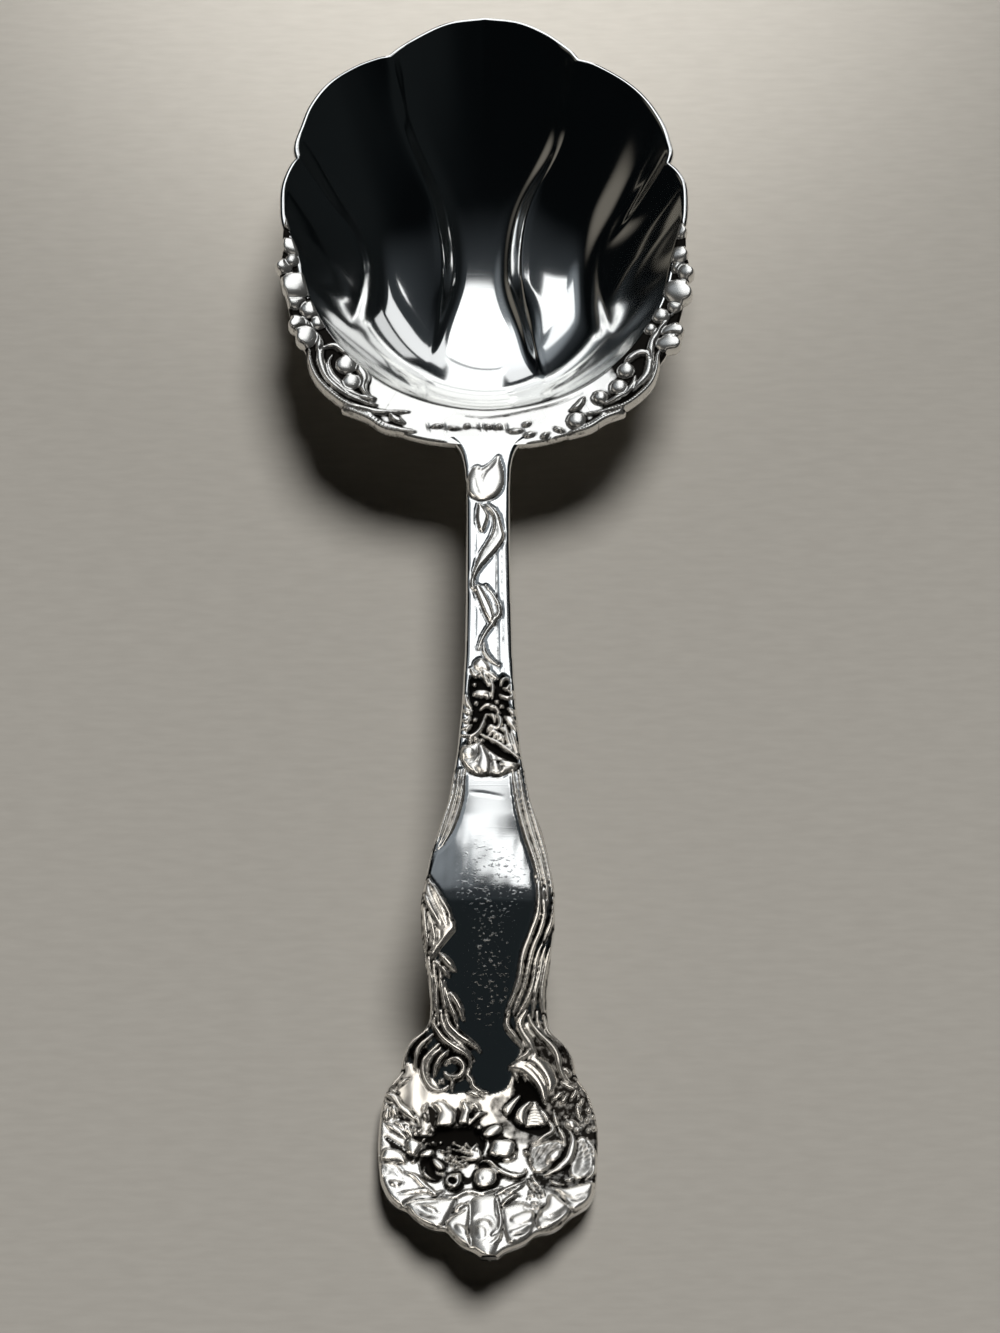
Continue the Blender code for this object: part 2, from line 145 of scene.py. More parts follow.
class Field:
    """A plan grid on which a relief is drawn: heights H over the ground, and the piece L that each point belongs to."""

    def __init__(self, x0, x1, y0, y1, step):
        self.step = step
        self.xs = np.arange(x0, x1 + step / 2, step)
        self.ys = np.arange(y0, y1 + step / 2, step)
        self.X, self.Y = np.meshgrid(self.xs, self.ys)
        self.H = np.zeros(self.X.shape)
        self.L = np.zeros(self.X.shape, int)
        self.D = np.zeros(self.X.shape)

    def window(self, points, pad):
        p = np.asarray(points)[:, :2]
        i0, i1 = np.searchsorted(self.xs, [p[:, 0].min() - pad, p[:, 0].max() + pad])
        j0, j1 = np.searchsorted(self.ys, [p[:, 1].min() - pad, p[:, 1].max() + pad])
        return slice(j0, j1), slice(i0, i1)

    def polygon(self, outline, reach):
        """Signed distance to a closed outline (inside is negative), cut off at the reach."""
        poly = np.asarray(outline)
        inside = np.zeros(self.X.shape, bool)
        dist = np.full(self.X.shape, float(reach))
        for (ax, ay), (bx, by) in zip(poly, np.roll(poly, -1, 0)):
            j0, j1 = np.searchsorted(self.ys, [min(ay, by), max(ay, by)])
            if j1 > j0:
                cross = ax + (self.ys[j0:j1] - ay) * (bx - ax) / (by - ay)
                inside[j0:j1] ^= self.xs[None, :] < cross[:, None]
            win = self.window([(ax, ay), (bx, by)], reach)
            x, y = self.X[win], self.Y[win]
            dx, dy = bx - ax, by - ay
            t = np.clip(((x - ax) * dx + (y - ay) * dy) / max(dx * dx + dy * dy, 1e-12), 0, 1)
            np.minimum(dist[win], np.hypot(x - ax - t * dx, y - ay - t * dy), out=dist[win])
        return np.where(inside, -dist, dist)

    def lay(self, win, body, out, label, moat, over):
        """Put a form on the relief, with a cut line round it."""
        H, L, D = self.H[win], self.L[win], self.D[win]
        inside = out < 0
        if moat:
            near = (~inside) & (out < 0.32)
            H[near] -= (moat * (1 - out / 0.32) ** 2)[near]
            np.maximum(H, -0.35, out=H)
            ring = (~inside) & (out < 0.34)
            D[ring] = np.maximum(D, min(1.0, 3.6 * moat) * (1 - (out / 0.34) ** 2))[ring]
        hit = inside if over else inside & (body > H)
        H[hit] = body[hit]
        L[hit] = label
        D[hit] = 0

    def stain_and_shade(self, points, amount=1.0, soft=0.5):
        """Darkening inside an outline: black oxide in a recess in some places, painted shade next to raised work in
        others.
        """
        poly = spline(points, 6, True)
        win = self.window(poly, 0.3)
        part = Field(0, 0, 0, 0, self.step)
        part.xs, part.ys = self.xs[win[1]], self.ys[win[0]]
        part.X, part.Y = self.X[win], self.Y[win]
        s = part.polygon(poly, 4.0)
        np.maximum(self.D[win], amount * smoothstep(-s, 0, soft), out=self.D[win])

    def strand(self, points, w, h, label, lift=0.0, ends=(0.35, 0.35), moat=0.25, over=True, power=3.4):
        """A half-round stem: w is its half width."""
        line = spline(points, 8)
        ends = (0.5 * ends[0], 0.5 * ends[1])
        h = min(h, 1.7 * w)
        win = self.window(line, w + 0.6)
        d, t = to_line(self.X[win], self.Y[win], line)
        f = np.minimum(1, np.minimum(ends[0] + (1 - ends[0]) * t / 0.3, ends[1] + (1 - ends[1]) * (1 - t) / 0.3))
        u = d / (w * f)
        body = lift + h * (0.45 + 0.55 * f) * np.sqrt(np.clip(1 - u**power, 0, 1))
        self.lay(win, body, d - w * f, label, moat, over)

    def blade(self, points, h, label, edge=0.4, cup=0.0, lift=0.0, slope=(0.0, 0.0), ribs=None, moat=0.25, over=True, steps=6):
        """A petal or leaf inside a closed outline. ribs is (x, y, count a radian, height): a fan about a point."""
        poly = spline(points, steps, True)
        win = self.window(poly, 0.6)
        part = Field(0, 0, 0, 0, self.step)
        part.xs, part.ys = self.xs[win[1]], self.ys[win[0]]
        part.X, part.Y = self.X[win], self.Y[win]
        s = part.polygon(poly, 6.0)
        deep = max(float(-s.min()), 1e-3)
        mid = poly.mean(0)
        body = lift + h * (0.62 * rounded(-s, edge) + 0.58 * rounded(-s, deep)) - cup * smoothstep(-s / deep, 0.15, 1.0)
        body = body + slope[0] * (part.X - mid[0]) + slope[1] * (part.Y - mid[1])
        if ribs:
            fan = np.arctan2(part.Y - ribs[1], part.X - ribs[0])
            body = body + ribs[3] * (np.abs(np.cos(fan * ribs[2])) - 0.5) * smoothstep(-s, 0.0, 0.5)
        self.lay(win, body, s, label, moat, over)

    def dome(self, point, rx, ry, h, label, angle=0.0, lift=0.0, moat=0.25, over=True, mound=False):
        """A bead or boss, or a mound that rises from the ground without an edge."""
        cx, cy = point
        r = max(rx, ry)
        win = self.window([(cx - r, cy - r), (cx + r, cy + r)], 0.6)
        x, y = self.X[win] - cx, self.Y[win] - cy
        a = math.radians(angle)
        u = np.hypot((x * math.cos(a) + y * math.sin(a)) / rx, (-x * math.sin(a) + y * math.cos(a)) / ry)
        rise = np.clip(1 - u * u, 0, 1)
        body = lift + h * (rise * rise if mound else np.sqrt(rise))
        self.lay(win, body, (u - 1) * min(rx, ry), label, moat, over)

    def pit(self, points, depth, soft=0.7):
        """A sunk place with black oxide in it."""
        poly = spline(points, 6, True)
        win = self.window(poly, 0.3)
        part = Field(0, 0, 0, 0, self.step)
        part.xs, part.ys = self.xs[win[1]], self.ys[win[0]]
        part.X, part.Y = self.X[win], self.Y[win]
        s = part.polygon(poly, 4.0)
        k = smoothstep(-s, 0, soft)
        self.H[win] = self.H[win] * (1 - k) - depth * k
        self.L[win][s < 0] = 0
        np.maximum(self.D[win], smoothstep(-s, 0, 0.4), out=self.D[win])

    def groove(self, points, w, depth, ends=(0.3, 0.3), ink=0.8):
        """A cut line: w is its half width."""
        line = spline(points, 8)
        win = self.window(line, w + 0.2)
        d, t = to_line(self.X[win], self.Y[win], line)
        f = np.minimum(1, np.minimum(ends[0] + (1 - ends[0]) * t / 0.3, ends[1] + (1 - ends[1]) * (1 - t) / 0.3))
        k = f * (1 - smoothstep(d, 0.15 * w, w))
        self.H[win] -= depth * k
        np.maximum(self.D[win], ink * k, out=self.D[win])

    def sample(self, a, x, y):
        i = np.clip((x - self.xs[0]) / self.step, 0, len(self.xs) - 1.001)
        j = np.clip((y - self.ys[0]) / self.step, 0, len(self.ys) - 1.001)
        i0, j0 = i.astype(int), j.astype(int)
        fi, fj = i - i0, j - j0
        return (a[j0, i0] * (1 - fi) * (1 - fj) + a[j0, i0 + 1] * fi * (1 - fj)
                + a[j0 + 1, i0] * (1 - fi) * fj + a[j0 + 1, i0 + 1] * fi * fj)

    def snapped(self, sdf, level):
        """Grid points moved onto the outline where they are close to it, and which of them are inside."""
        gy, gx = np.gradient(sdf, self.step)
        n = np.maximum(gx * gx + gy * gy, 0.25)
        e = sdf - level
        near = np.abs(e) < 0.5 * self.step
        x = self.X - np.where(near, e * gx / n, 0)
        y = self.Y - np.where(near, e * gy / n, 0)
        return x, y, (e <= 0) | near


def add_mesh(name, verts, faces, material, slot, nodes=(), sharp=50.0, **attributes):
    mesh = bpy.data.meshes.new(name)
    mesh.from_pydata((np.asarray(verts, float) * 0.001).tolist(), [], faces)
    mesh.validate()
    mesh.shade_smooth()
    mesh.set_sharp_from_angle(angle=math.radians(sharp))
    for key, value in attributes.items():
        layer = mesh.attributes.new(key, "FLOAT", "POINT")
        layer.data.foreach_set("value", np.asarray(value, np.float32))
    mesh.materials.append(material)
    obj = bpy.data.objects.new(name, mesh)
    bpy.context.scene.collection.objects.link(obj)
    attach(obj, "root")
    if nodes:
        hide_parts(*nodes)
    return obj


def grid_solid(name, x, y, zt, zb, use, core, material, slot, nodes=(), rows=1, sharp=60.0, under=0.1, **attributes):
    """A closed solid over the cells of a grid: a top at zt, a bottom at zb and walls round them."""
    corner = (use[:-1, :-1], use[:-1, 1:], use[1:, 1:], use[1:, :-1])
    hit = core[:-1, :-1] | core[:-1, 1:] | core[1:, 1:] | core[1:, :-1]
    count = sum(c.astype(int) for c in corner)
    ids = np.arange(use.size).reshape(use.shape)
    q = (ids[:-1, :-1], ids[:-1, 1:], ids[1:, 1:], ids[1:, :-1])
    quads = np.stack([a[(count == 4) & hit] for a in q], -1)
    tris = []
    for miss in range(4):
        m = (count == 3) & hit & ~corner[miss]
        tris.append(np.stack([q[k][m] for k in range(4) if k != miss], -1))
    tris = np.vstack(tris)
    edges = np.vstack([quads[:, [k, (k + 1) % 4]] for k in range(4)] + [tris[:, [k, (k + 1) % 3]] for k in range(3)])
    key, back = edges[:, 0] * use.size + edges[:, 1], edges[:, 1] * use.size + edges[:, 0]
    rim = edges[~np.isin(key, back)]
    used = np.unique(np.concatenate([quads.ravel(), tris.ravel()]))
    new = np.full(use.size, -1)
    new[used] = np.arange(len(used))
    n = len(used)
    px, py, pt, pb = (a.ravel()[used] for a in (x, y, zt, zb))
    verts = [np.stack([px, py, pt], -1), np.stack([px, py, pb], -1)]
    rv = np.unique(rim)
    ring = np.full(use.size, -1)
    ring[rv] = np.arange(len(rv))
    local = new[rv]
    for k in range(rows):
        f = (k + 1) / (rows + 1)
        verts.append(np.stack([px[local], py[local], pt[local] * (1 - f) + pb[local] * f], -1))
    faces = new[quads].tolist() + new[tris].tolist()
    faces += (new[quads][:, ::-1] + n).tolist() + (new[tris][:, ::-1] + n).tolist()
    a, b = rim[:, 0], rim[:, 1]
    levels = [(new[a], new[b])]
    levels += [(2 * n + k * len(rv) + ring[a], 2 * n + k * len(rv) + ring[b]) for k in range(rows)]
    levels.append((new[a] + n, new[b] + n))
    for (a0, b0), (a1, b1) in zip(levels[:-1], levels[1:]):
        faces += np.stack([a0, a1, b1, b0], -1).tolist()
    given = {k: np.concatenate([v.ravel()[used], np.full(n + rows * len(rv), under)]) for k, v in attributes.items()}
    return add_mesh(name, np.vstack(verts), faces, material, slot, nodes, sharp, **given)


# ----------------------------------------------------------------- materials
def silver(name, tint, rough, scratch, oxide=False, wear=False, metal=1.0, satin=False):
    """Old silver: hazy roughness, fine scratches, black oxide in the recesses plus painted shade on steep sides and
    between forms (the dark attribute), and painted shade on faces that point down.
    """
    mat = bpy.data.materials.new(name)
    mat.use_nodes = True
    tree = mat.node_tree
    bsdf = tree.nodes["Principled BSDF"]
    bsdf.inputs["Metallic"].default_value = metal

    def add(kind, **values):
        node = tree.nodes.new(kind)
        for key, value in values.items():
            setattr(node, key, value)
        return node

    def link(a, b):
        tree.links.new(a, b)

    def mix(kind, factor, a, b):
        node = add("ShaderNodeMix", data_type=kind)
        i = {"FLOAT": (0, 2, 3, 0), "RGBA": (0, 6, 7, 2)}[kind]
        for socket, value in ((i[0], factor), (i[1], a), (i[2], b)):
            if isinstance(value, bpy.types.NodeSocket):
                link(value, node.inputs[socket])
            else:
                node.inputs[socket].default_value = value
        return node.outputs[i[3]]

    def remap(value, lo, hi, to_lo, to_hi):
        node = add("ShaderNodeMapRange")
        link(value, node.inputs[0])
        for k, v in zip((1, 2, 3, 4), (lo, hi, to_lo, to_hi)):
            node.inputs[k].default_value = v
        return node.outputs[0]

    coord = add("ShaderNodeTexCoord").outputs["Object"]

    def noise(scale, detail, stretch=(1, 1, 1), spin=0.0):
        place = add("ShaderNodeMapping")
        place.inputs["Scale"].default_value = stretch
        place.inputs["Rotation"].default_value = (0, 0, spin)
        link(coord, place.inputs["Vector"])
        node = add("ShaderNodeTexNoise")
        node.inputs["Scale"].default_value = scale
        node.inputs["Detail"].default_value = detail
        link(place.outputs["Vector"], node.inputs["Vector"])
        return node.outputs["Fac"]

    haze = noise(70, 4)
    fine = noise(900, 3)
    colour = mix("RGBA", remap(haze, 0.35, 0.7, 0.0, 1.0), (*[c * 0.95 for c in tint], 1), (*tint, 1))
    roughness = remap(haze, 0.3, 0.75, rough * 0.8, rough * 1.35)
    axes = add("ShaderNodeSeparateXYZ")                 # painted shade: faces that point down get a darker grey colour and more roughness
    link(add("ShaderNodeNewGeometry").outputs["Normal"], axes.inputs[0])
    back = add("ShaderNodeMath", operation="MULTIPLY")
    link(remap(axes.outputs["Z"], -0.02, -0.4, 0.0, 1.0), back.inputs[0])
    link(remap(haze, 0.35, 0.65, 0.8, 1.0), back.inputs[1])
    colour = mix("RGBA", back.outputs[0], colour, (0.47, 0.45, 0.41, 1))
    roughness = mix("FLOAT", back.outputs[0], roughness, 0.24)
    if satin:
        dull = add("ShaderNodeAttribute", attribute_name="satin").outputs["Fac"]
        colour = mix("RGBA", dull, colour, (0.95, 0.92, 0.87, 1))
        roughness = mix("FLOAT", dull, roughness, 0.38)
        link(remap(dull, 0.0, 1.0, metal, 0.7), bsdf.inputs["Metallic"])
    # the dark attribute: black oxide in the recesses, plus painted shade on steep sides and between forms
    if oxide:
        dark = add("ShaderNodeAttribute", attribute_name="dark").outputs["Fac"]
        grain = remap(fine, 0.3, 0.7, -0.15, 0.22)
        total = add("ShaderNodeMath", operation="ADD")
        link(dark, total.inputs[0])
        link(grain, total.inputs[1])
        amount = remap(total.outputs[0], 0.25, 0.8, 0.0, 1.0)
        colour = mix("RGBA", amount, colour, (0.016, 0.014, 0.012, 1))
        roughness = mix("FLOAT", amount, roughness, 0.5)
        link(remap(amount, 0.0, 1.0, 0.5, 0.0), bsdf.inputs["Specular IOR Level"])
    link(colour, bsdf.inputs["Base Color"])
    link(roughness, bsdf.inputs["Roughness"])
    scratches = add("ShaderNodeMath", operation="MAXIMUM")
    link(remap(noise(60, 2, (1, 34, 1), 0.5), 0.62, 0.75, 0.0, 1.0), scratches.inputs[0])
    link(remap(noise(60, 2, (1, 30, 1), -0.9), 0.63, 0.75, 0.0, 1.0), scratches.inputs[1])
    bump = add("ShaderNodeBump")
    bump.inputs["Strength"].default_value = scratch
    bump.inputs["Distance"].default_value = 0.00002
    link(scratches.outputs[0], bump.inputs["Height"])
    normal = bump.outputs["Normal"]
    if wear:
        worn = add("ShaderNodeAttribute", attribute_name="wear").outputs["Fac"]
        pits = add("ShaderNodeMath", operation="MULTIPLY")
        link(remap(noise(1300, 6, (1, 1.6, 1)), 0.59, 0.74, 0.0, 1.0), pits.inputs[0])
        link(worn, pits.inputs[1])
        second = add("ShaderNodeBump")
        second.inputs["Strength"].default_value = 0.7
        second.inputs["Distance"].default_value = 0.00018
        link(pits.outputs[0], second.inputs["Height"])
        link(normal, second.inputs["Normal"])
        normal = second.outputs["Normal"]
    link(normal, bsdf.inputs["Normal"])
    return mat


polish = silver("silver_polished", (0.93, 0.925, 0.905), 0.085, 0.04)
blank = silver("silver_handle", (0.93, 0.925, 0.905), 0.115, 0.05, True, True, satin=True)
worked = silver("silver_relief", (0.95, 0.92, 0.87), 0.26, 0.1, True, metal=0.9)
border = silver("silver_border", (0.95, 0.93, 0.89), 0.24, 0.08, True, metal=0.9)

# ------------------------------------------------------------- the bowl form
CX, CY = 0.0, 66.0        # middle of the rim in plan
DEEP_Y = 54.5             # deepest point on the axis
SHEET = 1.3
POWER = 2.6
RIDGE_START, RIDGE_AT = 0.3, 0.58      # ridge height at the rim as a share of its highest, and where that is
RIDGE_PEAK = (3.1, 2.8, 1.3, 1.0)
INNER_W, OUTER_W = 5.6, 9.5

RIM_L = ((0, 114.9), (6.5, 113.9), (11.6, 111.2), (15.2, 108.4), (17.5, 105.5)), (
    (17.5, 105.5), (20.6, 104.8), (24.4, 103.2), (28.6, 100.2), (31.6, 95.6), (33.2, 90.8), (34.0, 88.2), (34.2, 86.0), (33.8, 83.8)), (
    (33.8, 83.8), (35.0, 82.2), (36.1, 79.2), (36.5, 76.4), (36.4, 71.7), (36.0, 66.0), (35.2, 60.0))
RIM_R = ((0, 114.9), (6.0, 114.0), (11.0, 111.4), (14.6, 108.2), (16.9, 104.8)), (
    (16.9, 104.8), (20.2, 103.8), (25.6, 100.4), (29.2, 96.6), (32.0, 91.4), (33.2, 86.9), (33.4, 84.8), (32.8, 82.4)), (
    (32.8, 82.4), (34.4, 80.9), (35.6, 78.6), (35.9, 75.6), (35.7, 70.5), (35.4, 66.0), (34.8, 60.0))


def polar_table(lobes):
    p = np.vstack([spline(lobe, 10) for lobe in lobes])
    return np.degrees(np.arctan2(p[:, 0], p[:, 1] - CY)), np.hypot(p[:, 0], p[:, 1] - CY)


rim_left, rim_right = polar_table(RIM_L), polar_table(RIM_R)


def folded(deg):
    deg = (np.asarray(deg, float) + 180) % 360 - 180
    return np.abs(deg), deg < 0


def rim_r(deg):
    a, is_left = folded(deg)
    return np.where(is_left, np.interp(a, *rim_left), np.interp(a, *rim_right))


def rim_z(deg):
    a, _ = folded(deg)
    return 21.3 - 0.6 * smoothstep(a, 30, 90) - 2.0 * smoothstep(a, 90, 165)


def edge_r(deg):
    """Plan radius of the bowl's inner edge."""
    a, _ = folded(deg)
    ledge = np.interp(a, [90, 125, 150, 180], [33.0, 33.2, 33.6, 33.8])
    k = smoothstep(a, 80, 100)
    return (rim_r(deg) - 0.7) * (1 - k) + ledge * k


def edge_z(deg):
    a, _ = folded(deg)
    return rim_z(deg) - 0.35 - 0.25 * smoothstep(a, 70, 110)


soft_deg = np.arange(-180, 180, 0.5)
soft_k = np.exp(-0.5 * (np.arange(-90, 91) / 30.0) ** 2)
soft_r = np.convolve(np.pad(edge_r(soft_deg), 90, mode="wrap"), soft_k / soft_k.sum(), "valid")


def bowl_base(s, deg):
    a = np.radians(deg)
    even = np.interp((np.asarray(deg, float) + 180) % 360 - 180, soft_deg, soft_r, period=360)
    r = s * (even + (edge_r(deg) - even) * smoothstep(s, 0.62, 1.0))     # the notches of the rim fade out inwards
    yc = DEEP_Y + (CY - DEEP_Y) * s
    z = SHEET + (edge_z(deg) - SHEET) * s**POWER
    return CX + r * np.sin(a), yc + r * np.cos(a), z


gs, gd = np.meshgrid(np.linspace(0, 1, 60), np.linspace(-180, 180, 181), indexing="ij")
gx, gy, gz = bowl_base(gs, gd)


def bowl_height(x, y):
    near = np.exp(-((gx - x) ** 2 + (gy - y) ** 2) / 2.0) + 1e-12
    return float((near * gz).sum() / near.sum())


# The ridges between the flutes, from the rim's notches to the heel, as they show in the view.
RIDGE_PX = (
    ((389, 60), (389, 84), (391, 108), (398, 130), (406, 150), (418, 177), (430, 205), (436, 229), (440, 252), (442, 281), (437, 322), (430, 350), (421, 376)),
    ((577, 62), (580, 80), (579, 97), (571, 132), (553, 170), (533, 202), (527, 225), (523, 249), (522, 281), (527, 317), (538, 356), (556, 391)),
    ((298, 160), (319, 179), (333, 196), (342, 211), (357, 243), (363, 270), (360, 293), (353, 315), (345, 334)),
    ((668, 163), (650, 179), (629, 197), (612, 223), (603, 252), (600, 279), (606, 311), (613, 332), (621, 349)),
)
RIDGE_Y = np.arange(10.0, 125.0, 0.2)


def ease(t):
    t = np.clip(t, 0, 1)
    return t**3 * (10 - 15 * t + 6 * t * t)


def ridge_course(line):
    """Where a ridge runs: its x for each y, the share of its run, the cosine of its slant, and how it fades past the rim."""
    p = spline([on_surface(px, py, bowl_height) for px, py in line], 6)
    p = p[np.argsort(p[:, 1])]
    x = np.interp(RIDGE_Y, p[:, 1], p[:, 0])
    share = (p[-1, 1] - RIDGE_Y) / (p[-1, 1] - p[0, 1])
    k = np.exp(-0.5 * (np.arange(-45, 46) / 15.0) ** 2)
    x = np.convolve(np.pad(x, 45, mode="edge"), k / k.sum(), "valid")
    slant = 1 / np.sqrt(1 + np.square(np.gradient(x, 0.2)))
    return x, share, slant, 1 - smoothstep(RIDGE_Y, p[-1, 1] + 0.5, p[-1, 1] + 5.0)


ridges = [ridge_course(line) for line in RIDGE_PX]


def flute(x, y):
    """Height of the ridges: each rises gently from the outer flute and drops steeply towards the middle one."""
    total = np.zeros(np.shape(x))
    for line, peak in zip(ridges, RIDGE_PEAK):
        at, along, slant, fade = (np.interp(y, RIDGE_Y, a) for a in line)
        towards = (x - at) * slant * (1 if line[0].mean() < 0 else -1)
        d = np.sqrt(towards * towards + 0.5) - math.sqrt(0.5)             # a rounded crest
        h = fade * peak * (RIDGE_START + (1 - RIDGE_START) * ease(along / RIDGE_AT)) * (1 - ease((along - RIDGE_AT) / (1 - RIDGE_AT)))
        narrow = 1 - 0.6 * ease((along - 0.5) / 0.5)                      # it tapers towards the heel
        inner = np.clip(1 - d / (INNER_W * narrow), 0, 1) ** 3
        fall = 1 - d / OUTER_W
        outer = (fall + np.sqrt(fall * fall + 0.06)) / (1 + math.sqrt(1.06))
        k = smoothstep(towards, -1.0, 1.0)
        total = total + h * (inner * k + outer * (1 - k))
    return total


NT, NS = 400, 100
deg = np.linspace(-180, 180, NT, endpoint=False)
S, Dg = np.meshgrid(np.linspace(0, 1, NS + 1)[1:], deg, indexing="ij")
ix, iy, iz = bowl_base(S, Dg)
iz = iz + flute(ix, iy) * smoothstep(S, 0.08, 0.3)
inner = np.stack([ix, iy, iz], -1)
nrm = np.cross(np.gradient(inner, axis=0), np.roll(inner, -1, 1) - np.roll(inner, 1, 1))
nrm /= np.maximum(np.linalg.norm(nrm, axis=-1, keepdims=True), 1e-9)
nrm[nrm[..., 2] < 0] *= -1
for _ in range(3):
    nrm = nrm + np.roll(nrm, 1, 1) + np.roll(nrm, -1, 1)
    nrm /= np.linalg.norm(nrm, axis=-1, keepdims=True)
outer = inner - nrm * SHEET
outer[..., 2] = np.maximum(outer[..., 2], 0.0)
rows = [inner[k] for k in range(NS)]
mid, across = (inner[-1] + outer[-1]) / 2, (inner[-1] - outer[-1]) / 2
up = np.cross(np.roll(mid, -1, 0) - np.roll(mid, 1, 0), across)
up /= np.linalg.norm(up, axis=-1, keepdims=True)
up[up[:, 2] < 0] *= -1
for a in np.linspace(0, math.pi, 9)[1:-1]:
    rows.append(mid + across * math.cos(a) + up * np.linalg.norm(across, axis=-1, keepdims=True) * math.sin(a))
rows += [outer[k] for k in range(NS - 1, -1, -2)]
verts = np.vstack([np.array([[CX, DEEP_Y, SHEET]])] + rows + [np.array([[CX, DEEP_Y, 0.0]])])
j = np.arange(NT)
j2 = (j + 1) % NT
faces = np.stack([np.zeros(NT, int), 1 + j2, 1 + j], -1).tolist()
for k in range(len(rows) - 1):
    a, b = 1 + k * NT, 1 + (k + 1) * NT
    faces += np.stack([a + j, a + j2, b + j2, b + j], -1).tolist()
last = 1 + (len(rows) - 1) * NT
faces += np.stack([last + j, last + j2, np.full(NT, len(verts) - 1)], -1).tolist()
add_mesh("bowl_shell", verts, faces, polish, "polished_silver", ("bowl",), sharp=70)

# ----------------------------------------------------------------- the border
# Scrolls and beads round the heel of the bowl, in three castings.
BORDER_L = ((36.4, 63.5), (36.8, 60.9), (36.7, 58.4), (35.6, 54.3), (34.2, 48.3), (32.5, 44.6), (30.7, 41.0), (29.0, 37.7), (26.9, 35.1), (24.3, 33.2), (21.0, 30.5), (17.5, 28.3), (12.8, 26.2), (6.7, 25.0), (0.0, 24.6))
BORDER_R = ((35.8, 63.5), (36.3, 60.9), (36.4, 58.7), (35.8, 55.5), (34.2, 49.0), (32.3, 43.6), (30.4, 40.3), (28.6, 37.4), (26.0, 34.7), (22.6, 32.0), (20.0, 29.6), (15.7, 27.2), (10.5, 25.4), (6.1, 24.7), (0.0, 24.6))


def border_table(points):
    p = spline(points, 8)
    a = np.degrees(np.arctan2(p[:, 0], p[:, 1] - CY))
    return a, np.hypot(p[:, 0], p[:, 1] - CY)


border_left, border_right = border_table(BORDER_L), border_table(BORDER_R)


def border_r(deg):
    a, is_left = folded(deg)
    return np.where(is_left, np.interp(a, *border_left), np.interp(a, *border_right))


def border_ground(x, y):
    """Flat of the border, between the bowl's ledge and the outer edge."""
    deg = np.degrees(np.arctan2(x, y - CY))
    r = np.hypot(x, y - CY)
    r0, r1 = edge_r(deg), border_r(deg)
    k = np.clip((r - r0) / np.maximum(r1 - r0, 0.5), 0, 1.2)
    return edge_z(deg) + 0.32 + (rim_z(deg) - edge_z(deg) - 0.05) * k


def border_plan(x0, y0, k):
    def at(*n):
        return [on_surface(x0 + n[i] / k, y0 + n[i + 1] / k, lambda x, y: border_ground(x, y) + 0.4) for i in range(0, len(n), 2)]
    return at


BL, BR, HB = border_plan(265, 205, 6.272), border_plan(570, 205, 6.272), border_plan(385, 360, 7.127)
B = Field(-40, 40, 22.5, 72, 0.16)
b_deg = np.degrees(np.arctan2(B.X, B.Y - CY))
b_r = np.hypot(B.X, B.Y - CY)
b_abs = np.abs(b_deg)
sdf = np.maximum(b_r - border_r(b_deg) + 0.25, edge_r(b_deg) - 0.1 - b_r)
sdf = np.maximum(sdf, (82.0 - b_abs) * 0.6)
grown = []                 # forms that reach past the flange: (x, y, radius)
UNIT = 1 / 35.0            # one step of the enlarged view, in millimetres


def bead(where, r, h=1.0, rx=None, angle=0.0, lift=0.1):
    B.dome(where[0], (rx or r) * UNIT * 1.74, r * UNIT * 1.74, 0.66 * h, 1, angle, lift)
    for k in (-0.5, 0.0, 0.5):
        extra = ((rx or r) - r) * UNIT * 1.2 * 2 * k
        a = math.radians(angle)
        grown.append((where[0][0] + extra * math.cos(a), where[0][1] + extra * math.sin(a), r * UNIT * 1.2 + 0.12))


def scroll(points, w, h, lift=0.1, ends=(0.4, 0.4), grow=True, over=True):
    B.strand(points, 1.22 * w, 0.8 * h, 1, lift, ends, 0.26, over)
    if grow:
        for x, y in spline(points, 6):
            grown.append((x, y, w * 0.9))


# left side
scroll(BL(275, 880, 280, 960, 300, 1030, 340, 1100, 410, 1170, 500, 1235, 600, 1275, 740, 1295, 900, 1290), 0.62, 0.8)
scroll(BL(210, 640, 270, 740, 330, 830, 345, 900, 350, 980, 380, 1060, 440, 1130, 530, 1190, 620, 1230, 700, 1250), 0.62, 0.85)
scroll(BL(350, 905, 400, 880, 450, 885, 510, 920, 560, 970, 600, 1030, 622, 1080, 610, 1130, 640, 1190, 690, 1210), 0.8, 0.95, grow=False)
scroll(BL(425, 930, 398, 985, 420, 1060, 480, 1120, 560, 1180, 690, 1222), 0.5, 0.7, grow=False)
scroll(BL(500, 1265, 640, 1320, 760, 1390, 940, 1415), 0.7, 0.6)
scroll(BL(780, 1305, 820, 1340, 875, 1362), 0.55, 0.7, grow=False)
scroll(BL(150, 300, 150, 420, 175, 560, 230, 680), 0.7, 0.5)
for cx, cy, r, h in ((175, 105, 34, 0.9), (110, 378, 34, 1.1), (170, 345, 26, 0.9), (190, 595, 38, 1.0), (290, 655, 40, 1.0),
                     (335, 735, 28, 0.8), (195, 740, 38, 0.9), (250, 825, 46, 1.0)):
    bead(BL(cx, cy), r, h)
bead(BL(170, 255), 36, 1.0, 50, -25)
bead(BL(192, 500), 56, 1.3, 68, 15)
bead(BL(510, 1000), 40, 0.9, lift=0.2)
bead(BL(545, 1105), 34, 0.8, lift=0.2)
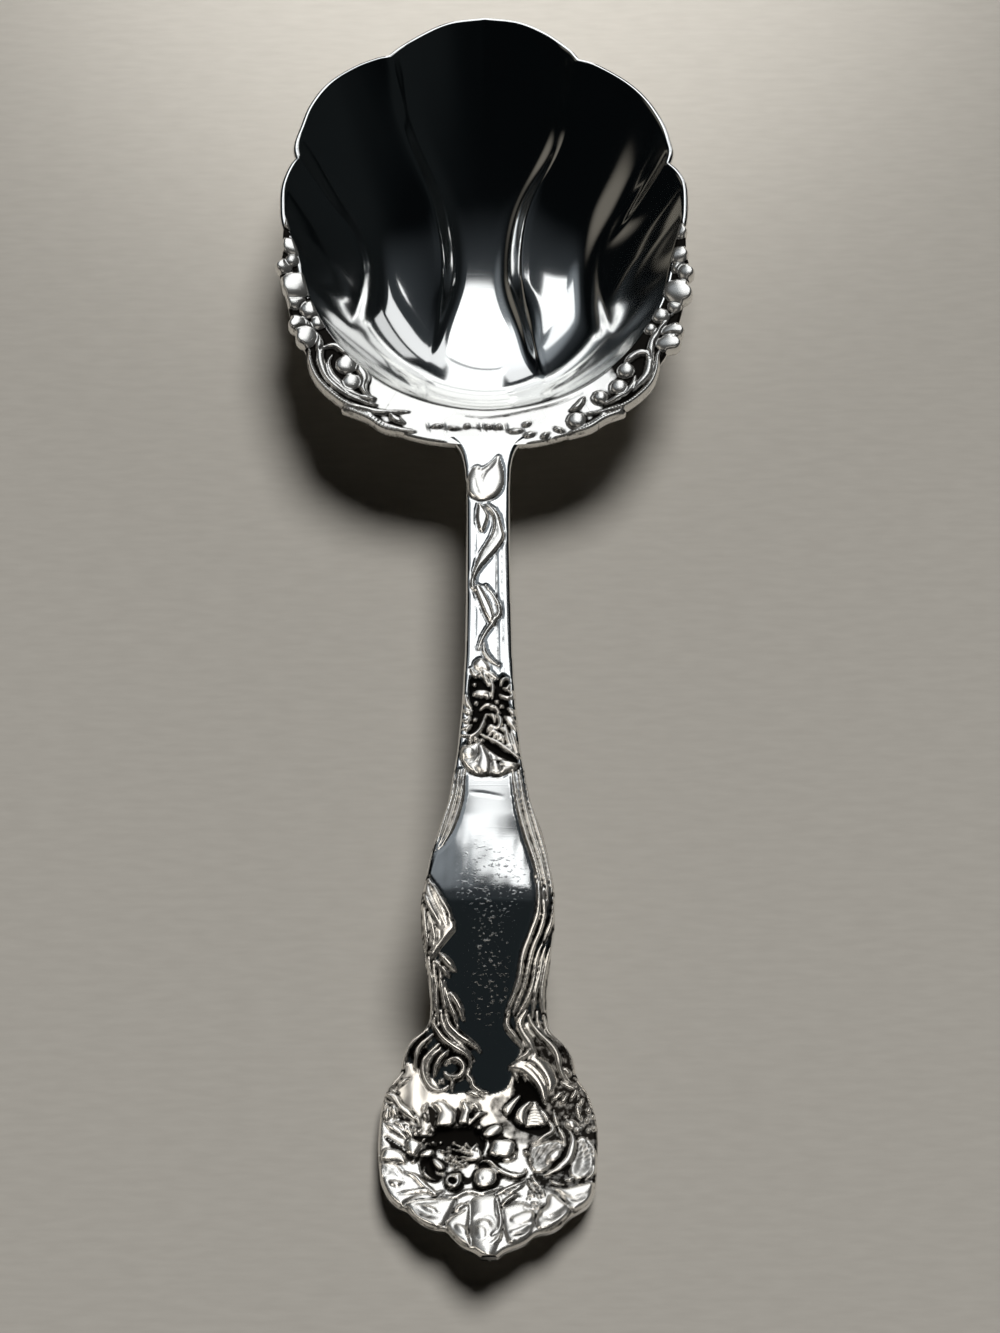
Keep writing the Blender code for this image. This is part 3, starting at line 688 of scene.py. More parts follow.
# right side
scroll(BR(575, 880, 550, 940, 545, 1000, 530, 1060, 500, 1120, 430, 1190, 340, 1250, 220, 1290, 80, 1310), 0.62, 0.8)
scroll(BR(655, 650, 590, 740, 530, 830, 505, 900, 500, 970, 485, 1050, 440, 1110, 360, 1170, 260, 1225), 0.62, 0.85)
scroll(BR(505, 960, 470, 925, 420, 930, 370, 965, 330, 1010), 0.6, 0.85, grow=False)
scroll(BR(412, 1060, 385, 1135, 300, 1200, 200, 1250), 0.45, 0.7, grow=False)
scroll(BR(330, 1285, 220, 1325, 120, 1385, 0, 1420), 0.7, 0.6)
scroll(BR(90, 1200, 50, 1255, 0, 1285), 0.5, 0.6, grow=False)
scroll(BR(710, 330, 715, 460, 690, 580, 640, 690), 0.7, 0.5)
for cx, cy, r, h in ((692, 158, 34, 0.9), (675, 390, 24, 0.9), (735, 415, 36, 1.1), (657, 630, 28, 0.9), (567, 690, 32, 0.9), (503, 773, 24, 0.8)):
    bead(BR(cx, cy), r, h)
bead(BR(685, 305), 34, 1.0, 46, 20)
bead(BR(690, 540), 52, 1.3, 64, -25)
bead(BR(655, 785), 34, 0.9, 50, 15)
bead(BR(630, 862), 38, 1.0, 54, 5)
for cx, cy, r in ((350, 1035, 32), (305, 1138, 32), (187, 1203, 28), (40, 1345, 34)):
    bead(BR(cx, cy), r, 0.9, lift=0.2)
# the heel: a smooth band with two fine lines and a row of small leaves
B.groove(HB(60, 160, 130, 210, 250, 260, 390, 285, 510, 310, 700, 325, 820, 325, 1000, 300, 1200, 255, 1310, 205), 0.32, 0.12, (0.2, 0.2), 1.0)
B.groove(HB(510, 380, 680, 405, 820, 395, 1000, 360, 1200, 310, 1400, 230), 0.3, 0.16)
for cx, cy, rx, ry, a in ((370, 465, 0.9, 0.42, 10), (490, 480, 0.9, 0.42, -8), (585, 465, 0.55, 0.5, 60), (735, 470, 0.6, 0.5, 0), (815, 470, 0.55, 0.5, -50),
                          (930, 500, 1.2, 0.5, 5), (1010, 450, 0.8, 0.5, 25), (1030, 525, 1.0, 0.55, 20), (1140, 530, 0.8, 0.5, 40), (1240, 490, 0.9, 0.5, -25), (1190, 560, 0.7, 0.4, 10)):
    B.dome(HB(cx, cy)[0], rx, ry, 0.45, 1, a, 0.05, 0.2)
for cx in (300, 420, 660, 700, 770, 860):
    B.groove(HB(cx, 440, cx + 15, 505), 0.22, 0.22)
B.groove(HB(330, 478, 500, 490, 620, 478, 780, 485, 1000, 505), 0.2, 0.2)

for x, y, r in grown:
    win = B.window([(x - r, y - r), (x + r, y + r)], 1.0)
    sdf[win] = np.minimum(sdf[win], np.maximum(np.hypot(B.X[win] - x, B.Y[win] - y) - r, (80.5 - b_abs[win]) * 0.6))
sdf = np.maximum(sdf, edge_r(b_deg) - 0.1 - b_r)
B.H = blur(B.H, 1.0)
sink = blur(B.H, 4.0) - B.H
b_dark = smoothstep(sink, 0.06, 0.3)
# painted shade: bare ground close to the beads and scrolls is darkened
b_dark = np.maximum(b_dark, 0.9 * smoothstep(blur((B.H > 0.15).astype(float), 6.2), 0.4, 0.75) * smoothstep(0.14 - B.H, 0.0, 0.12))
b_dark = np.maximum(b_dark, np.where(B.H > 0.3, np.minimum(blur(B.D, 0.8), B.D + 0.12), blur(B.D, 0.8)))
# painted shade: steep sides of the beads and scrolls are darkened
by_, bx_ = np.gradient(B.H, B.step)
b_dark = np.maximum(b_dark, 0.85 * smoothstep(np.hypot(bx_, by_), 1.1, 2.1))
arms = 1 - smoothstep(b_abs, 137, 144)                  # painted shade: black between the beads up the sides
b_dark = np.maximum(b_dark, 0.95 * arms * smoothstep(0.2 - B.H, 0.0, 0.12))
CUT = 152.4
for name, node, side in (("border_left", "rim_scroll_left", b_deg < 0), ("border_right", "rim_scroll_right", b_deg > 0), ("border_heel", "rim_band_front", None)):
    seam = (b_abs - CUT) * 0.65
    part = np.maximum(sdf, seam + 0.02) if side is not None else np.maximum(sdf, -seam + 0.02)
    if side is not None:
        part = np.where(side, part, 5.0)
    x, y, use = B.snapped(part, 0.0)
    q = -B.sample(sdf, x, y)
    neck = smoothstep(8.2 - np.abs(x), 0.0, 1.6) * (y < 28)
    zt = border_ground(x, y) + B.sample(B.H, x, y) * rounded(q + 0.15, 0.6) - 0.55 * (1 - rounded(q, 0.55)) * (1 - neck)
    zb = border_ground(x, y) - 2.1 + 0.5 * (1 - rounded(q, 0.6)) - 0.25 * rounded(q, 2.0)
    grid_solid(name, x, y, zt, zb, use, use, border, "relief_silver", (node,), 2, 62, 0.2, dark=B.sample(b_dark, x, y))

# ------------------------------------------------------------ the handle form
# (y, top height, thickness) along the axis.
PROFILE = np.array([
    (26.5, 18.96, 3.52), (24.1, 18.96, 3.52), (17.8, 19.1, 3.5), (13.0, 19.25, 3.4), (5.7, 19.5, 3.2), (-6.2, 20.0, 3.1), (-15.8, 20.25, 3.0), (-25.3, 20.5, 2.9),
    (-34.6, 20.65, 2.8), (-43.7, 20.78, 2.7), (-49.1, 20.9, 2.7), (-54.0, 21.03, 2.6), (-57.8, 21.12, 2.6), (-60.2, 21.1, 2.6), (-62.2, 20.85, 2.6), (-65.0, 19.9, 2.6),
    (-70.2, 17.2, 2.6), (-74.5, 14.4, 2.6), (-79.5, 11.0, 2.8), (-83.0, 8.6, 2.9), (-86.0, 6.6, 3.1), (-89.0, 5.2, 3.4), (-92.0, 4.4, 3.7),
    (-95.0, 4.05, 3.95), (-99.0, 4.15, 4.15), (-103.2, 5.0, 4.1), (-106.3, 5.95, 4.0), (-109.0, 6.9, 3.8), (-112.0, 8.05, 3.6), (-118.0, 10.5, 3.3)])[::-1]
fine = spline(PROFILE, 16)
WIDTH = np.array([(-116, 6), (-108, 16), (-97, 17.6), (-88, 16), (-81, 11.5), (-77, 9.3), (-70, 10.0), (-61, 10.9), (-52, 9.5), (-44, 6.8), (-35, 5.3), (-25, 4.5), (-6, 3.85), (18, 3.8), (25, 4.6)])
CROWN = 0.075


def face_z(x, y):
    w = np.interp(y, WIDTH[:, 0], WIDTH[:, 1])
    return np.interp(y, fine[:, 0], fine[:, 1]) - CROWN * w * np.minimum(np.square(x / w), 1.3) * smoothstep(y, -100, -78) * (1 - smoothstep(y, -52, -40))


def plan(px, py):
    return on_surface(px, py, lambda x, y: face_z(x, y) + 0.4)


def view(x0, y0, k):
    """Points read in an enlarged view with its corner at (x0, y0)."""
    def at(*n):
        return [plan(x0 + n[i] / k, y0 + n[i + 1] / k) for i in range(0, len(n), 2)]
    return at


P = view(0, 0, 1)
TA, TB = view(370, 1010, 12.06), view(480, 1010, 12.06)
TC, TD = view(370, 1120, 10.81), view(480, 1120, 10.81)
SE, SF, PG = view(440, 440, 8.71), view(440, 600, 8.253), view(400, 770, 6.033)

edge_left = P(440, 431, 449, 437.5, 456.5, 443, 461, 451, 463.8, 464, 465.8, 482, 466, 540, 466, 600, 465, 650, 462, 700, 457, 750, 448, 800, 437, 830, 430.7, 850, 424.4, 880, 420.6, 900, 421, 930,
              425, 960, 429, 985, 430.5, 1005, 429, 1020)
edge_left += P(423, 1030, 412.5, 1036, 405.5, 1046, 402, 1058, 401.2, 1070)
edge_left += P(394, 1078, 387.5, 1087, 384, 1094)
edge_left += P(381, 1108, 378.6, 1125, 377.6, 1145, 378.6, 1166, 380.2, 1180, 386.7, 1195, 394, 1203, 402, 1208)
edge_left += P(406, 1208, 411.6, 1215, 421.8, 1222.7, 433.8, 1228, 441, 1228.5)
edge_left += P(446, 1228, 451.4, 1235.5, 460.7, 1244, 468.5, 1248)
edge_left += P(473, 1249, 481, 1255.5, 491, 1258)
edge_right = P(534, 431, 526, 437.5, 518, 443.5, 513.8, 452, 511.3, 465, 510.4, 482, 510, 540, 511.5, 600, 513, 650, 516, 700, 521, 750, 531, 800, 542.6, 830, 547.4, 850, 553.5, 880, 555.5, 900, 554.5, 930,
               550.5, 960, 548, 990, 547.2, 1010, 548.5, 1026)
edge_right += P(551, 1031, 559.5, 1038, 568, 1046.5, 573.2, 1055, 575.5, 1064, 575.3, 1073)
edge_right += P(581, 1081, 587, 1089, 591, 1098, 594.4, 1109, 598, 1127, 598.3, 1143)
edge_right += P(597, 1160, 597, 1172, 595, 1190, 589, 1202, 577, 1210, 571, 1213)
edge_right += P(567, 1217, 561, 1224, 551, 1229.5, 541, 1231)
edge_right += P(536, 1231.5, 529, 1239, 520, 1243.5, 509, 1247)
edge_right += P(503, 1250, 498, 1255)
outline = np.array(edge_left + edge_right[::-1])
dense = []
for a, b in zip(outline, np.roll(outline, -1, 0)):
    n = max(1, int(np.hypot(*(b - a)) / 0.5))
    dense += [a + (b - a) * k / n for k in range(n)]
dense = np.array(dense)
for _ in range(2):
    dense = (np.roll(dense, 1, 0) + 2 * dense + np.roll(dense, -1, 0)) / 4

R = Field(-19.5, 19.5, -117.5, 26.5, 0.17)
r_sdf = R.polygon(dense, 3.0)
top = dense[:, 1] > min(dense[0, 1], edge_right[0][1]) - 0.6
r_open = R.polygon(np.where(top[:, None] & (np.abs(dense[:, :1] - 1.0) < 8.5), dense + (0.0, 4.0), dense), 3.0)     # the outline without its upper end, which joins the border
NODES = ("stem_bud", "stem_vine", "stem_blossom", "edge_vine_left", "edge_vine_right", "shoulder_curl_left", "shoulder_curl_right",
         "terminal_blossom", "blossom_stamens", "terminal_leaf_right", "terminal_leaf_front")
BUD, VINE, BLOOM, EDGE_L, EDGE_R, CURL_L, CURL_R, FLOWER, STAMEN, LEAF, FRONT = range(1, 12)

# ------------------------------------------------------------------- the stem
lx = spline(edge_left[4:19], 6)
rx = spline(edge_right[4:19], 6)


def beside(share, y0, y1):
    """A line along the stem at a share of its width."""
    ys = np.linspace(y0, y1, 24)
    a, b = np.interp(ys, lx[::-1, 1], lx[::-1, 0]), np.interp(ys, rx[::-1, 1], rx[::-1, 0])
    return np.stack([a + (b - a) * share, ys], -1)


y_bud, y_bloom = P(488, 500)[0][1], P(488, 672)[0][1]
for share, width, depth, ink in ((0.2, 0.18, 0.08, 0.6), (0.69, 0.24, 0.12, 0.85), (0.80, 0.15, 0.08, 0.8), (0.92, 0.17, 0.1, 0.95)):
    R.groove(beside(share, y_bud, y_bloom), width, depth, (0.2, 0.6), ink)

R.blade(SE(240, 370, 243, 435, 278, 492, 350, 516, 430, 502, 500, 462, 540, 400, 556, 330, 546, 250, 522, 170, 508, 128, 470, 172, 400, 225, 352, 248, 335, 224, 285, 240, 255, 300),
        0.6, BUD, 1.3, 0.0, 0.0, (0.0, -0.05), moat=0.04)
R.groove(SE(242, 350, 243, 435, 278, 492, 350, 518, 430, 506, 500, 466, 535, 410), 0.3, 0.2, (0.3, 0.2), 1.0)
R.groove(SE(300, 330, 312, 400, 340, 460, 380, 500), 0.17, 0.16, ink=0.5)
R.groove(SE(495, 165, 440, 225, 385, 290, 358, 375), 0.36, 0.2, ink=0.55)
R.groove(SE(556, 330, 546, 250, 522, 170, 508, 128), 0.14, 0.1, ink=0.5)
R.blade(SE(335, 545, 375, 575, 415, 640, 408, 700, 372, 785, 342, 770, 322, 690, 325, 600), 0.5, VINE, 0.3, 0.1, 0, (0.0, -0.05))
R.blade(SE(395, 552, 465, 585, 512, 650, 536, 740, 556, 842, 500, 935, 430, 1015, 360, 1095, 312, 1165, 288, 1235, 280, 1180, 318, 1060, 350, 980, 400, 900, 452, 810, 470, 720, 452, 640),
        0.68, VINE, 0.32, 0.14, 0.05, (0.09, -0.03))
R.groove(SE(470, 620, 500, 720, 480, 830, 400, 950, 340, 1050), 0.16, 0.14)
R.strand(SE(285, 1180, 284, 1255, 300, 1310), 0.3, 0.5, VINE)
R.blade(SE(305, 1258, 345, 1262, 400, 1350, 440, 1430, 470, 1520, 478, 1600, 440, 1590, 395, 1520, 345, 1400, 310, 1310), 0.6, VINE, 0.3, 0.05, 0.0, (-0.04, -0.02))
R.strand(SE(395, 1255, 470, 1350, 512, 1440, 505, 1530) + SF(495, 85, 445, 165, 385, 245, 340, 325, 318, 400), 0.27, 0.5, VINE, ends=(0.3, 0.5))
R.strand(SF(360, 345, 368, 425, 425, 495, 492, 535), 0.26, 0.5, VINE, ends=(0.5, 0.4))
R.blade(SF(285, 515, 340, 475, 392, 520, 405, 560, 350, 585, 300, 560), 0.5, VINE, 0.35)

# the stem's flower head
R.pit(SF(232, 655, 275, 575, 335, 630, 390, 585, 450, 650, 515, 590, 575, 650, 592, 760, 575, 830, 598, 900, 600, 1010, 590, 1130, 632, 1250, 660, 1352, 560, 1325, 430, 1262, 330, 1190, 260, 1205, 190, 1215, 215, 1120, 225, 980, 250, 880, 225, 780), 0.3)
for n, w, h in (((255, 565, 290, 620, 330, 590), 0.2, 0.75), ((350, 590, 375, 640, 400, 700), 0.22, 0.75), ((410, 640, 432, 700, 430, 800), 0.2, 0.8),
                ((330, 560, 400, 600, 475, 640), 0.24, 0.6), ((500, 690, 520, 650, 560, 645), 0.2, 0.8), ((520, 720, 555, 725, 575, 690), 0.18, 0.75),
                ((490, 770, 540, 800, 600, 790), 0.2, 0.7), ((565, 740, 595, 760, 600, 800), 0.17, 0.65), ((205, 780, 222, 840, 262, 890), 0.22, 0.7),
                ((200, 900, 240, 930, 265, 905), 0.18, 0.7), ((195, 980, 225, 1000, 255, 960), 0.17, 0.65), ((190, 1060, 230, 1050, 262, 1020), 0.2, 0.65),
                ((560, 880, 600, 930, 622, 900), 0.22, 0.75), ((535, 950, 580, 1010, 628, 1062), 0.24, 0.75), ((560, 950, 600, 990, 632, 1010), 0.18, 0.7),
                ((535, 1020, 560, 1140, 605, 1245), 0.22, 0.7), ((585, 1080, 610, 1160, 640, 1250), 0.2, 0.55)):
    R.strand(SF(*n), 1.7 * w, 0.7 * h, BLOOM, 0.1, (0.8, 0.8), 0.1)
R.dome(SF(340, 765)[0], 1.5, 0.75, 0.5, BLOOM, 0, 0.15, 0.12)
R.strand(SF(470, 930, 500, 990, 480, 1050, 430, 1030), 0.42, 0.6, BLOOM, 0.1, (0.7, 0.7), 0.1)
R.strand(SF(400, 930, 440, 950, 450, 1000), 0.34, 0.5, BLOOM, 0.1, (0.7, 0.7), 0.1)
R.strand(SF(330, 900, 365, 872, 405, 864, 455, 885, 492, 925), 0.42, 0.7, BLOOM, 0.1, (0.7, 0.7), 0.1)
R.strand(SF(165, 1108, 255, 1116, 312, 1085, 348, 1030, 372, 960, 385, 930), 0.4, 0.7, BLOOM, 0.1, (0.7, 0.7), 0.1)
for n in ((390, 1070, 420, 1030, 450, 1060), (400, 1110, 440, 1070, 470, 1110), (440, 1140, 470, 1090, 505, 1150), (480, 1160, 500, 1110, 525, 1170)):
    R.strand(SF(*n), 0.34, 0.55, BLOOM, 0.1, (0.8, 0.8), 0.08)
R.strand(SF(342, 1098, 410, 1140, 490, 1182, 560, 1232, 650, 1296), 0.4, 0.7, BLOOM, 0.1, (0.6, 0.6), 0.1)
for cx, cy in ((285, 690), (300, 840), (395, 790), (470, 830), (510, 870), (430, 880), (290, 980), (250, 1150), (520, 1060), (300, 1140), (345, 1150), (560, 1190)):
    R.dome(SF(cx, cy)[0], 0.42, 0.36, 0.4, BLOOM, cx, 0.1, 0.06)
R.blade(SF(162, 1262, 190, 1200, 260, 1180, 330, 1165, 420, 1240, 520, 1300, 600, 1330, 655, 1345, 635, 1385, 565, 1412, 485, 1448, 408, 1436, 335, 1446, 250, 1415, 190, 1340),
        0.75, BLOOM, 0.45, 0.0, 0.05, (0.0, -0.06), moat=0.34)
for n, w in (((315, 1190, 305, 1290, 250, 1345), 0.28), ((400, 1240, 418, 1340, 410, 1435), 0.26), ((470, 1300, 505, 1360, 500, 1430), 0.24),
             ((285, 1370, 310, 1410, 320, 1440), 0.2), ((200, 1210, 190, 1260, 215, 1320), 0.2), ((540, 1330, 590, 1365, 630, 1370), 0.16)):
    R.groove(SF(*n), w, 0.34)
R.dome(SF(232, 1262)[0], 1.15, 1.1, 0.5, BLOOM, 0, 0.62, 0.2)
R.strand(SF(322, 1180, 330, 1260, 300, 1320, 245, 1345), 0.24, 0.35, BLOOM, 0.72, moat=0.25)
R.blade(SF(335, 1190, 375, 1250, 408, 1330, 402, 1420, 345, 1425, 310, 1390, 325, 1300), 0.35, BLOOM, 0.4, 0, 0.7, (0.0, -0.05))
R.dome(SF(458, 1375)[0], 0.75, 1.0, 0.4, BLOOM, 20, 0.6)
R.dome(SF(560, 1352)[0], 1.35, 0.5, 0.35, BLOOM, -8, 0.6)

# -------------------------------------------------------------- panel borders
def between(inner, outer, share):
    """A line between two edges."""
    a, b = spline(PG(*inner), 8), spline(PG(*outer), 8)
    t = np.linspace(0, 1, 30)
    a, b = (np.stack([np.interp(t, np.linspace(0, 1, len(p)), p[:, k]) for k in (0, 1)], -1) for p in (a, b))
    return a + (b - a) * share


for share, w, h in ((0.83, 0.33, 0.5), (0.5, 0.33, 0.55), (0.17, 0.35, 0.6)):
    R.strand(between((402, -10, 392, 120, 370, 230, 322, 360, 262, 452, 207, 492), (312, 0, 296, 100, 270, 190, 238, 320, 206, 440, 190, 478), share), w, h, EDGE_L, 0.0, (0.6, 0.4), 0.2)
R.strand(PG(205, 478, 170, 560, 148, 640, 136, 740), 0.3, 0.35, EDGE_L, ends=(0.6, 0.6))
R.groove(P(470, 791, 485, 792.5, 503, 796), 0.3, 0.03, (0.2, 0.2), 0.3)
R.blade(PG(163, 645, 200, 690, 250, 765, 296, 845, 333, 938, 300, 990, 248, 1052, 192, 1132, 165, 1075, 140, 920, 131, 780), 0.4, EDGE_L, 0.5, 0.05, 0.0, (0.02, 0.0), moat=0.3)
for pts, w, h in (((170, 652, 222, 742, 280, 832, 316, 897), 0.46, 0.75), ((178, 690, 225, 790, 262, 862, 285, 925), 0.28, 0.55), ((142, 740, 190, 840, 222, 895, 250, 938), 0.4, 0.7),
                  ((133, 800, 146, 900, 156, 990, 166, 1080), 0.34, 0.6), ((165, 850, 195, 940, 205, 1010, 190, 1080), 0.3, 0.55), ((215, 940, 235, 990, 220, 1040), 0.26, 0.5)):
    R.strand(PG(*pts), w, h, EDGE_L, 0.05, (0.5, 0.45), 0.3)
for pts, w, h in (((245, 1108, 282, 1152, 332, 1204), 0.5, 0.7), ((205, 1142, 245, 1180, 300, 1240), 0.3, 0.5), ((290, 1328, 348, 1408, 384, 1500), 0.48, 0.7),
                  ((172, 1120, 187, 1290, 192, 1440, 178, 1540), 0.36, 0.6), ((200, 1150, 216, 1300, 217, 1400, 232, 1540), 0.36, 0.6),
                  ((240, 1180, 254, 1330, 280, 1450, 312, 1560), 0.36, 0.62), ((262, 1260, 290, 1380, 330, 1480, 350, 1560), 0.32, 0.55)):
    R.strand(PG(*pts), w, h, EDGE_L, 0.0, (0.5, 0.6), 0.3)
for share, w, h in ((0.84, 0.35, 0.5), (0.5, 0.35, 0.56), (0.16, 0.36, 0.62)):
    R.strand(between((662, -10, 690, 190, 740, 380, 800, 560, 835, 720, 842, 840), (770, 0, 800, 150, 842, 320, 900, 520, 936, 700, 940, 840), share), w, h, EDGE_R, 0.0, (0.6, 0.6), 0.2)
for pts, w, h in (((815, 620, 836, 720, 838, 800, 828, 880, 790, 985, 742, 1120, 722, 1250, 690, 1350, 648, 1450, 640, 1520), 0.46, 0.7), ((930, 740, 926, 880, 882, 1000, 850, 1070), 0.46, 0.7),
                  ((868, 700, 872, 860, 845, 970, 800, 1080, 772, 1200, 752, 1290, 716, 1380, 684, 1470), 0.36, 0.55), ((858, 1040, 822, 1150, 802, 1290, 760, 1400, 700, 1500), 0.4, 0.62),
                  ((934, 960, 905, 1100, 872, 1220, 856, 1350, 870, 1480, 890, 1560), 0.42, 0.6), ((895, 1010, 862, 1120, 838, 1250, 812, 1370, 800, 1500), 0.36, 0.5)):
    R.strand(PG(*pts), w, h, EDGE_R, 0.0, (0.5, 0.6), 0.3)

# ------------------------------------------------- the ground of the end piece
TERMINAL = P(401, 1062, 430, 1077, 446, 1093, 470, 1092, 492, 1094, 508, 1087, 514, 1072, 520, 1055, 523, 1038, 528, 1022, 560, 1030, 600, 1085, 606, 1180, 560, 1255, 490, 1275, 400, 1220, 368, 1150, 378, 1090)
R.blade(TERMINAL, 0.12, FRONT, 0.5, moat=0.0)

# ---------------------------------------------------------- left shoulder curl
R.stain_and_shade(P(514, 1072, 520, 1050, 532, 1034, 560, 1040, 590, 1085, 600, 1150, 590, 1195, 545, 1192, 528, 1165, 522, 1120, 508, 1096), 0.75, 0.6)
# painted shade: the ground beside the right leaf is darkened
R.stain_and_shade(P(487, 1100, 507, 1092, 522, 1112, 531, 1133, 527, 1147, 513, 1143, 497, 1126), 0.55, 0.8)
R.stain_and_shade(P(462, 1096, 474, 1093, 482, 1098, 476, 1106, 466, 1106), 0.5, 0.8)
R.dome(TA(520, 1010)[0], 3.0, 3.2, 0.5, FRONT, 20, 0.1, 0.0, True, True)
for pts, w, h, lift in (
        ((690, 215, 560, 320, 450, 430, 402, 560, 397, 660, 400, 740), 0.62, 0.75, 0.0), ((750, 290, 650, 390, 572, 490, 552, 600, 546, 715), 0.5, 0.8, 0.05),
        ((850, 450, 760, 540, 700, 640, 690, 740, 722, 850), 0.3, 0.55, 0.1), ((830, 400, 740, 490, 652, 600, 636, 680, 642, 770, 682, 870, 742, 940, 820, 965, 900, 945, 952, 900), 0.42, 0.85, 0.1),
        ((950, 480, 860, 570, 800, 670, 778, 785), 0.46, 0.75, 0.1), ((1000, 770, 992, 870, 985, 965), 0.3, 0.6, 0.1),
        ((1210, 680, 1182, 780, 1228, 840, 1240, 900, 1310, 960, 1440, 1000), 0.34, 0.6, 0.0), ((1168, 985, 1260, 1010, 1362, 1052), 0.38, 0.6, 0.0),
        ((850, 0, 870, 120, 900, 220, 960, 300, 1060, 390, 1160, 470, 1250, 600), 0.36, 0.6, 0.0), ((790, 40, 770, 150, 800, 230, 870, 330, 960, 410, 1080, 490, 1170, 545, 1212, 610, 1205, 690), 0.5, 0.85, 0.05),
        ((910, 0, 940, 160, 1010, 250, 1100, 330, 1200, 390, 1290, 440, 1332, 492), 0.52, 0.8, 0.0), ((392, 745, 300, 830, 250, 890, 205, 962), 0.6, 0.65, 0.0),
        ((470, 820, 390, 865, 322, 942), 0.32, 0.55, 0.05), ((245, 940, 300, 985, 350, 1000), 0.24, 0.5, 0.05)):
    R.strand(TA(*pts), w, h, CURL_L, lift, (0.55, 0.4), 0.3)
ring = [(1010 + 120 * math.cos(a), 700 + 112 * math.sin(a)) for a in np.linspace(-2.6, 2.7, 12)]
R.strand(TA(*[c for p in ring for c in p]), 0.5, 0.75, CURL_L, 0.1, (0.6, 0.6), 0.3)
R.dome(TA(865, 855)[0], 0.45, 0.35, 0.6, CURL_L, 0, 0.1)

# --------------------------------------------------------- right shoulder curl
R.blade(TB(560, 560, 640, 500, 720, 560, 840, 640, 900, 760, 920, 880, 860, 990, 800, 1060, 760, 950, 690, 800, 560, 690), 0.35, CURL_R, 1.0, 0.0, 0.0, (0.0, -0.03), moat=0.0)
for pts, w, h, lift in (
        ((352, 0, 322, 160, 360, 240, 440, 340, 522, 462), 0.42, 0.65, 0.0), ((578, 430, 590, 490, 540, 550, 450, 602), 0.4, 0.6, 0.0),
        ((560, 0, 500, 100, 482, 180, 530, 290, 600, 390, 645, 480, 700, 560), 0.62, 0.5, 0.0), ((590, 60, 620, 160, 680, 240, 780, 340, 880, 450, 932, 545, 960, 680, 1000, 790, 1090, 880), 0.64, 0.85, 0.05),
        ((690, 0, 700, 150, 760, 250, 880, 350, 960, 440, 1010, 540), 0.32, 0.5, 0.0), ((770, 60, 830, 240, 950, 330, 1060, 430, 1112, 520, 1135, 640, 1140, 760), 0.7, 0.85, 0.0),
        ((1000, 690, 1070, 755, 1112, 805), 0.34, 0.7, 0.1),
        ((1130, 800, 1220, 870, 1290, 950, 1335, 1050, 1370, 1180, 1400, 1300), 0.45, 0.6, 0.0), ((978, 858, 1050, 912, 1130, 942, 1205, 952), 0.34, 0.8, 0.1),
        ((1175, 955, 1140, 1010, 1080, 1092), 0.28, 0.7, 0.1)):
    R.strand(TB(*pts), w, h, CURL_R, lift, (0.55, 0.45), 0.3)
R.blade(TB(560, 600, 640, 530, 720, 570, 800, 660, 870, 790, 895, 900, 855, 990, 800, 1010, 750, 900, 680, 790, 600, 700), 0.4, CURL_R, 0.7, 0.0, 0.15, (0.0, -0.02), moat=0.08)

# --------------------------------------------------------------- right leaves
R.pit(TB(400, 800, 470, 790, 560, 820, 650, 890, 710, 990, 750, 1080, 800, 1180, 840, 1300, 850, 1420, 760, 1510, 600, 1490, 470, 1440, 370, 1350, 300, 1270, 270, 1190, 340, 1080, 420, 970, 410, 880), 0.3)
R.blade(TB(590, 1110, 660, 1085, 705, 1115, 745, 1188, 786, 1277, 800, 1370, 720, 1405, 610, 1412, 530, 1410, 545, 1310, 565, 1200), 0.45, LEAF, 0.5, 0.0, 0.1, (0.0, -0.04), moat=0.1)
for k in range(7):
    R.groove(TB(585 - 4 * k, 1165 + 33 * k, 640 + 3 * k, 1135 + 36 * k, 700 + 14 * k, 1130 + 40 * k), 0.14, 0.25, (0.8, 0.8), 1.0)
for k in range(5):
    R.strand(TB(240 + 20 * k, 1190 - 22 * k, 275 + 20 * k, 1230 - 20 * k), 0.13, 0.4, LEAF, 0.1, (0.6, 0.6), 0.15)
for pts, w, h, lift in (
        ((362, 690, 450, 662, 545, 682, 650, 752, 738, 862, 778, 1000, 800, 1100), 0.85, 0.85, 0.1), ((412, 735, 440, 800, 462, 862), 0.34, 0.7, 0.1),
        ((515, 765, 540, 810, 552, 850), 0.24, 0.7, 0.1), ((718, 1155, 780, 1250, 830, 1335, 862, 1420, 845, 1485, 720, 1560), 0.34, 0.8, 0.1),
        ((890, 1195, 910, 1300, 950, 1420, 995, 1550), 0.28, 0.75, 0.1), ((865, 1105, 930, 1050, 1010, 985), 0.5, 0.8, 0.1), ((965, 1135, 1020, 1080, 1062, 1005), 0.42, 0.8, 0.1),
        ((1170, 1120, 1190, 1250, 1222, 1325), 0.36, 0.75, 0.1), ((1240, 1050, 1225, 1110, 1215, 1150), 0.22, 0.6, 0.1), ((1190, 1010, 1185, 1060), 0.24, 0.6, 0.1)):
    R.strand(TB(*pts), w, h, LEAF, lift, (0.5, 0.5), 0.32)
for cx, cy, r, h in ((1310, 1215, 0.42, 0.7), (1368, 1280, 0.35, 0.6), (1290, 1330, 0.36, 0.6), (1378, 1420, 0.4, 0.6), (1310, 1450, 0.36, 0.6), (1040, 1300, 0.4, 0.5), (1230, 1420, 0.4, 0.6)):
    R.dome(TB(cx, cy)[0], r, r * 1.2, h, LEAF, 0, 0.1)
R.dome(TB(1105, 1385)[0], 1.2, 0.85, 0.8, LEAF, -30, 0.1)
R.dome(TB(1180, 1450)[0], 0.7, 0.5, 0.75, LEAF, 20, 0.1)
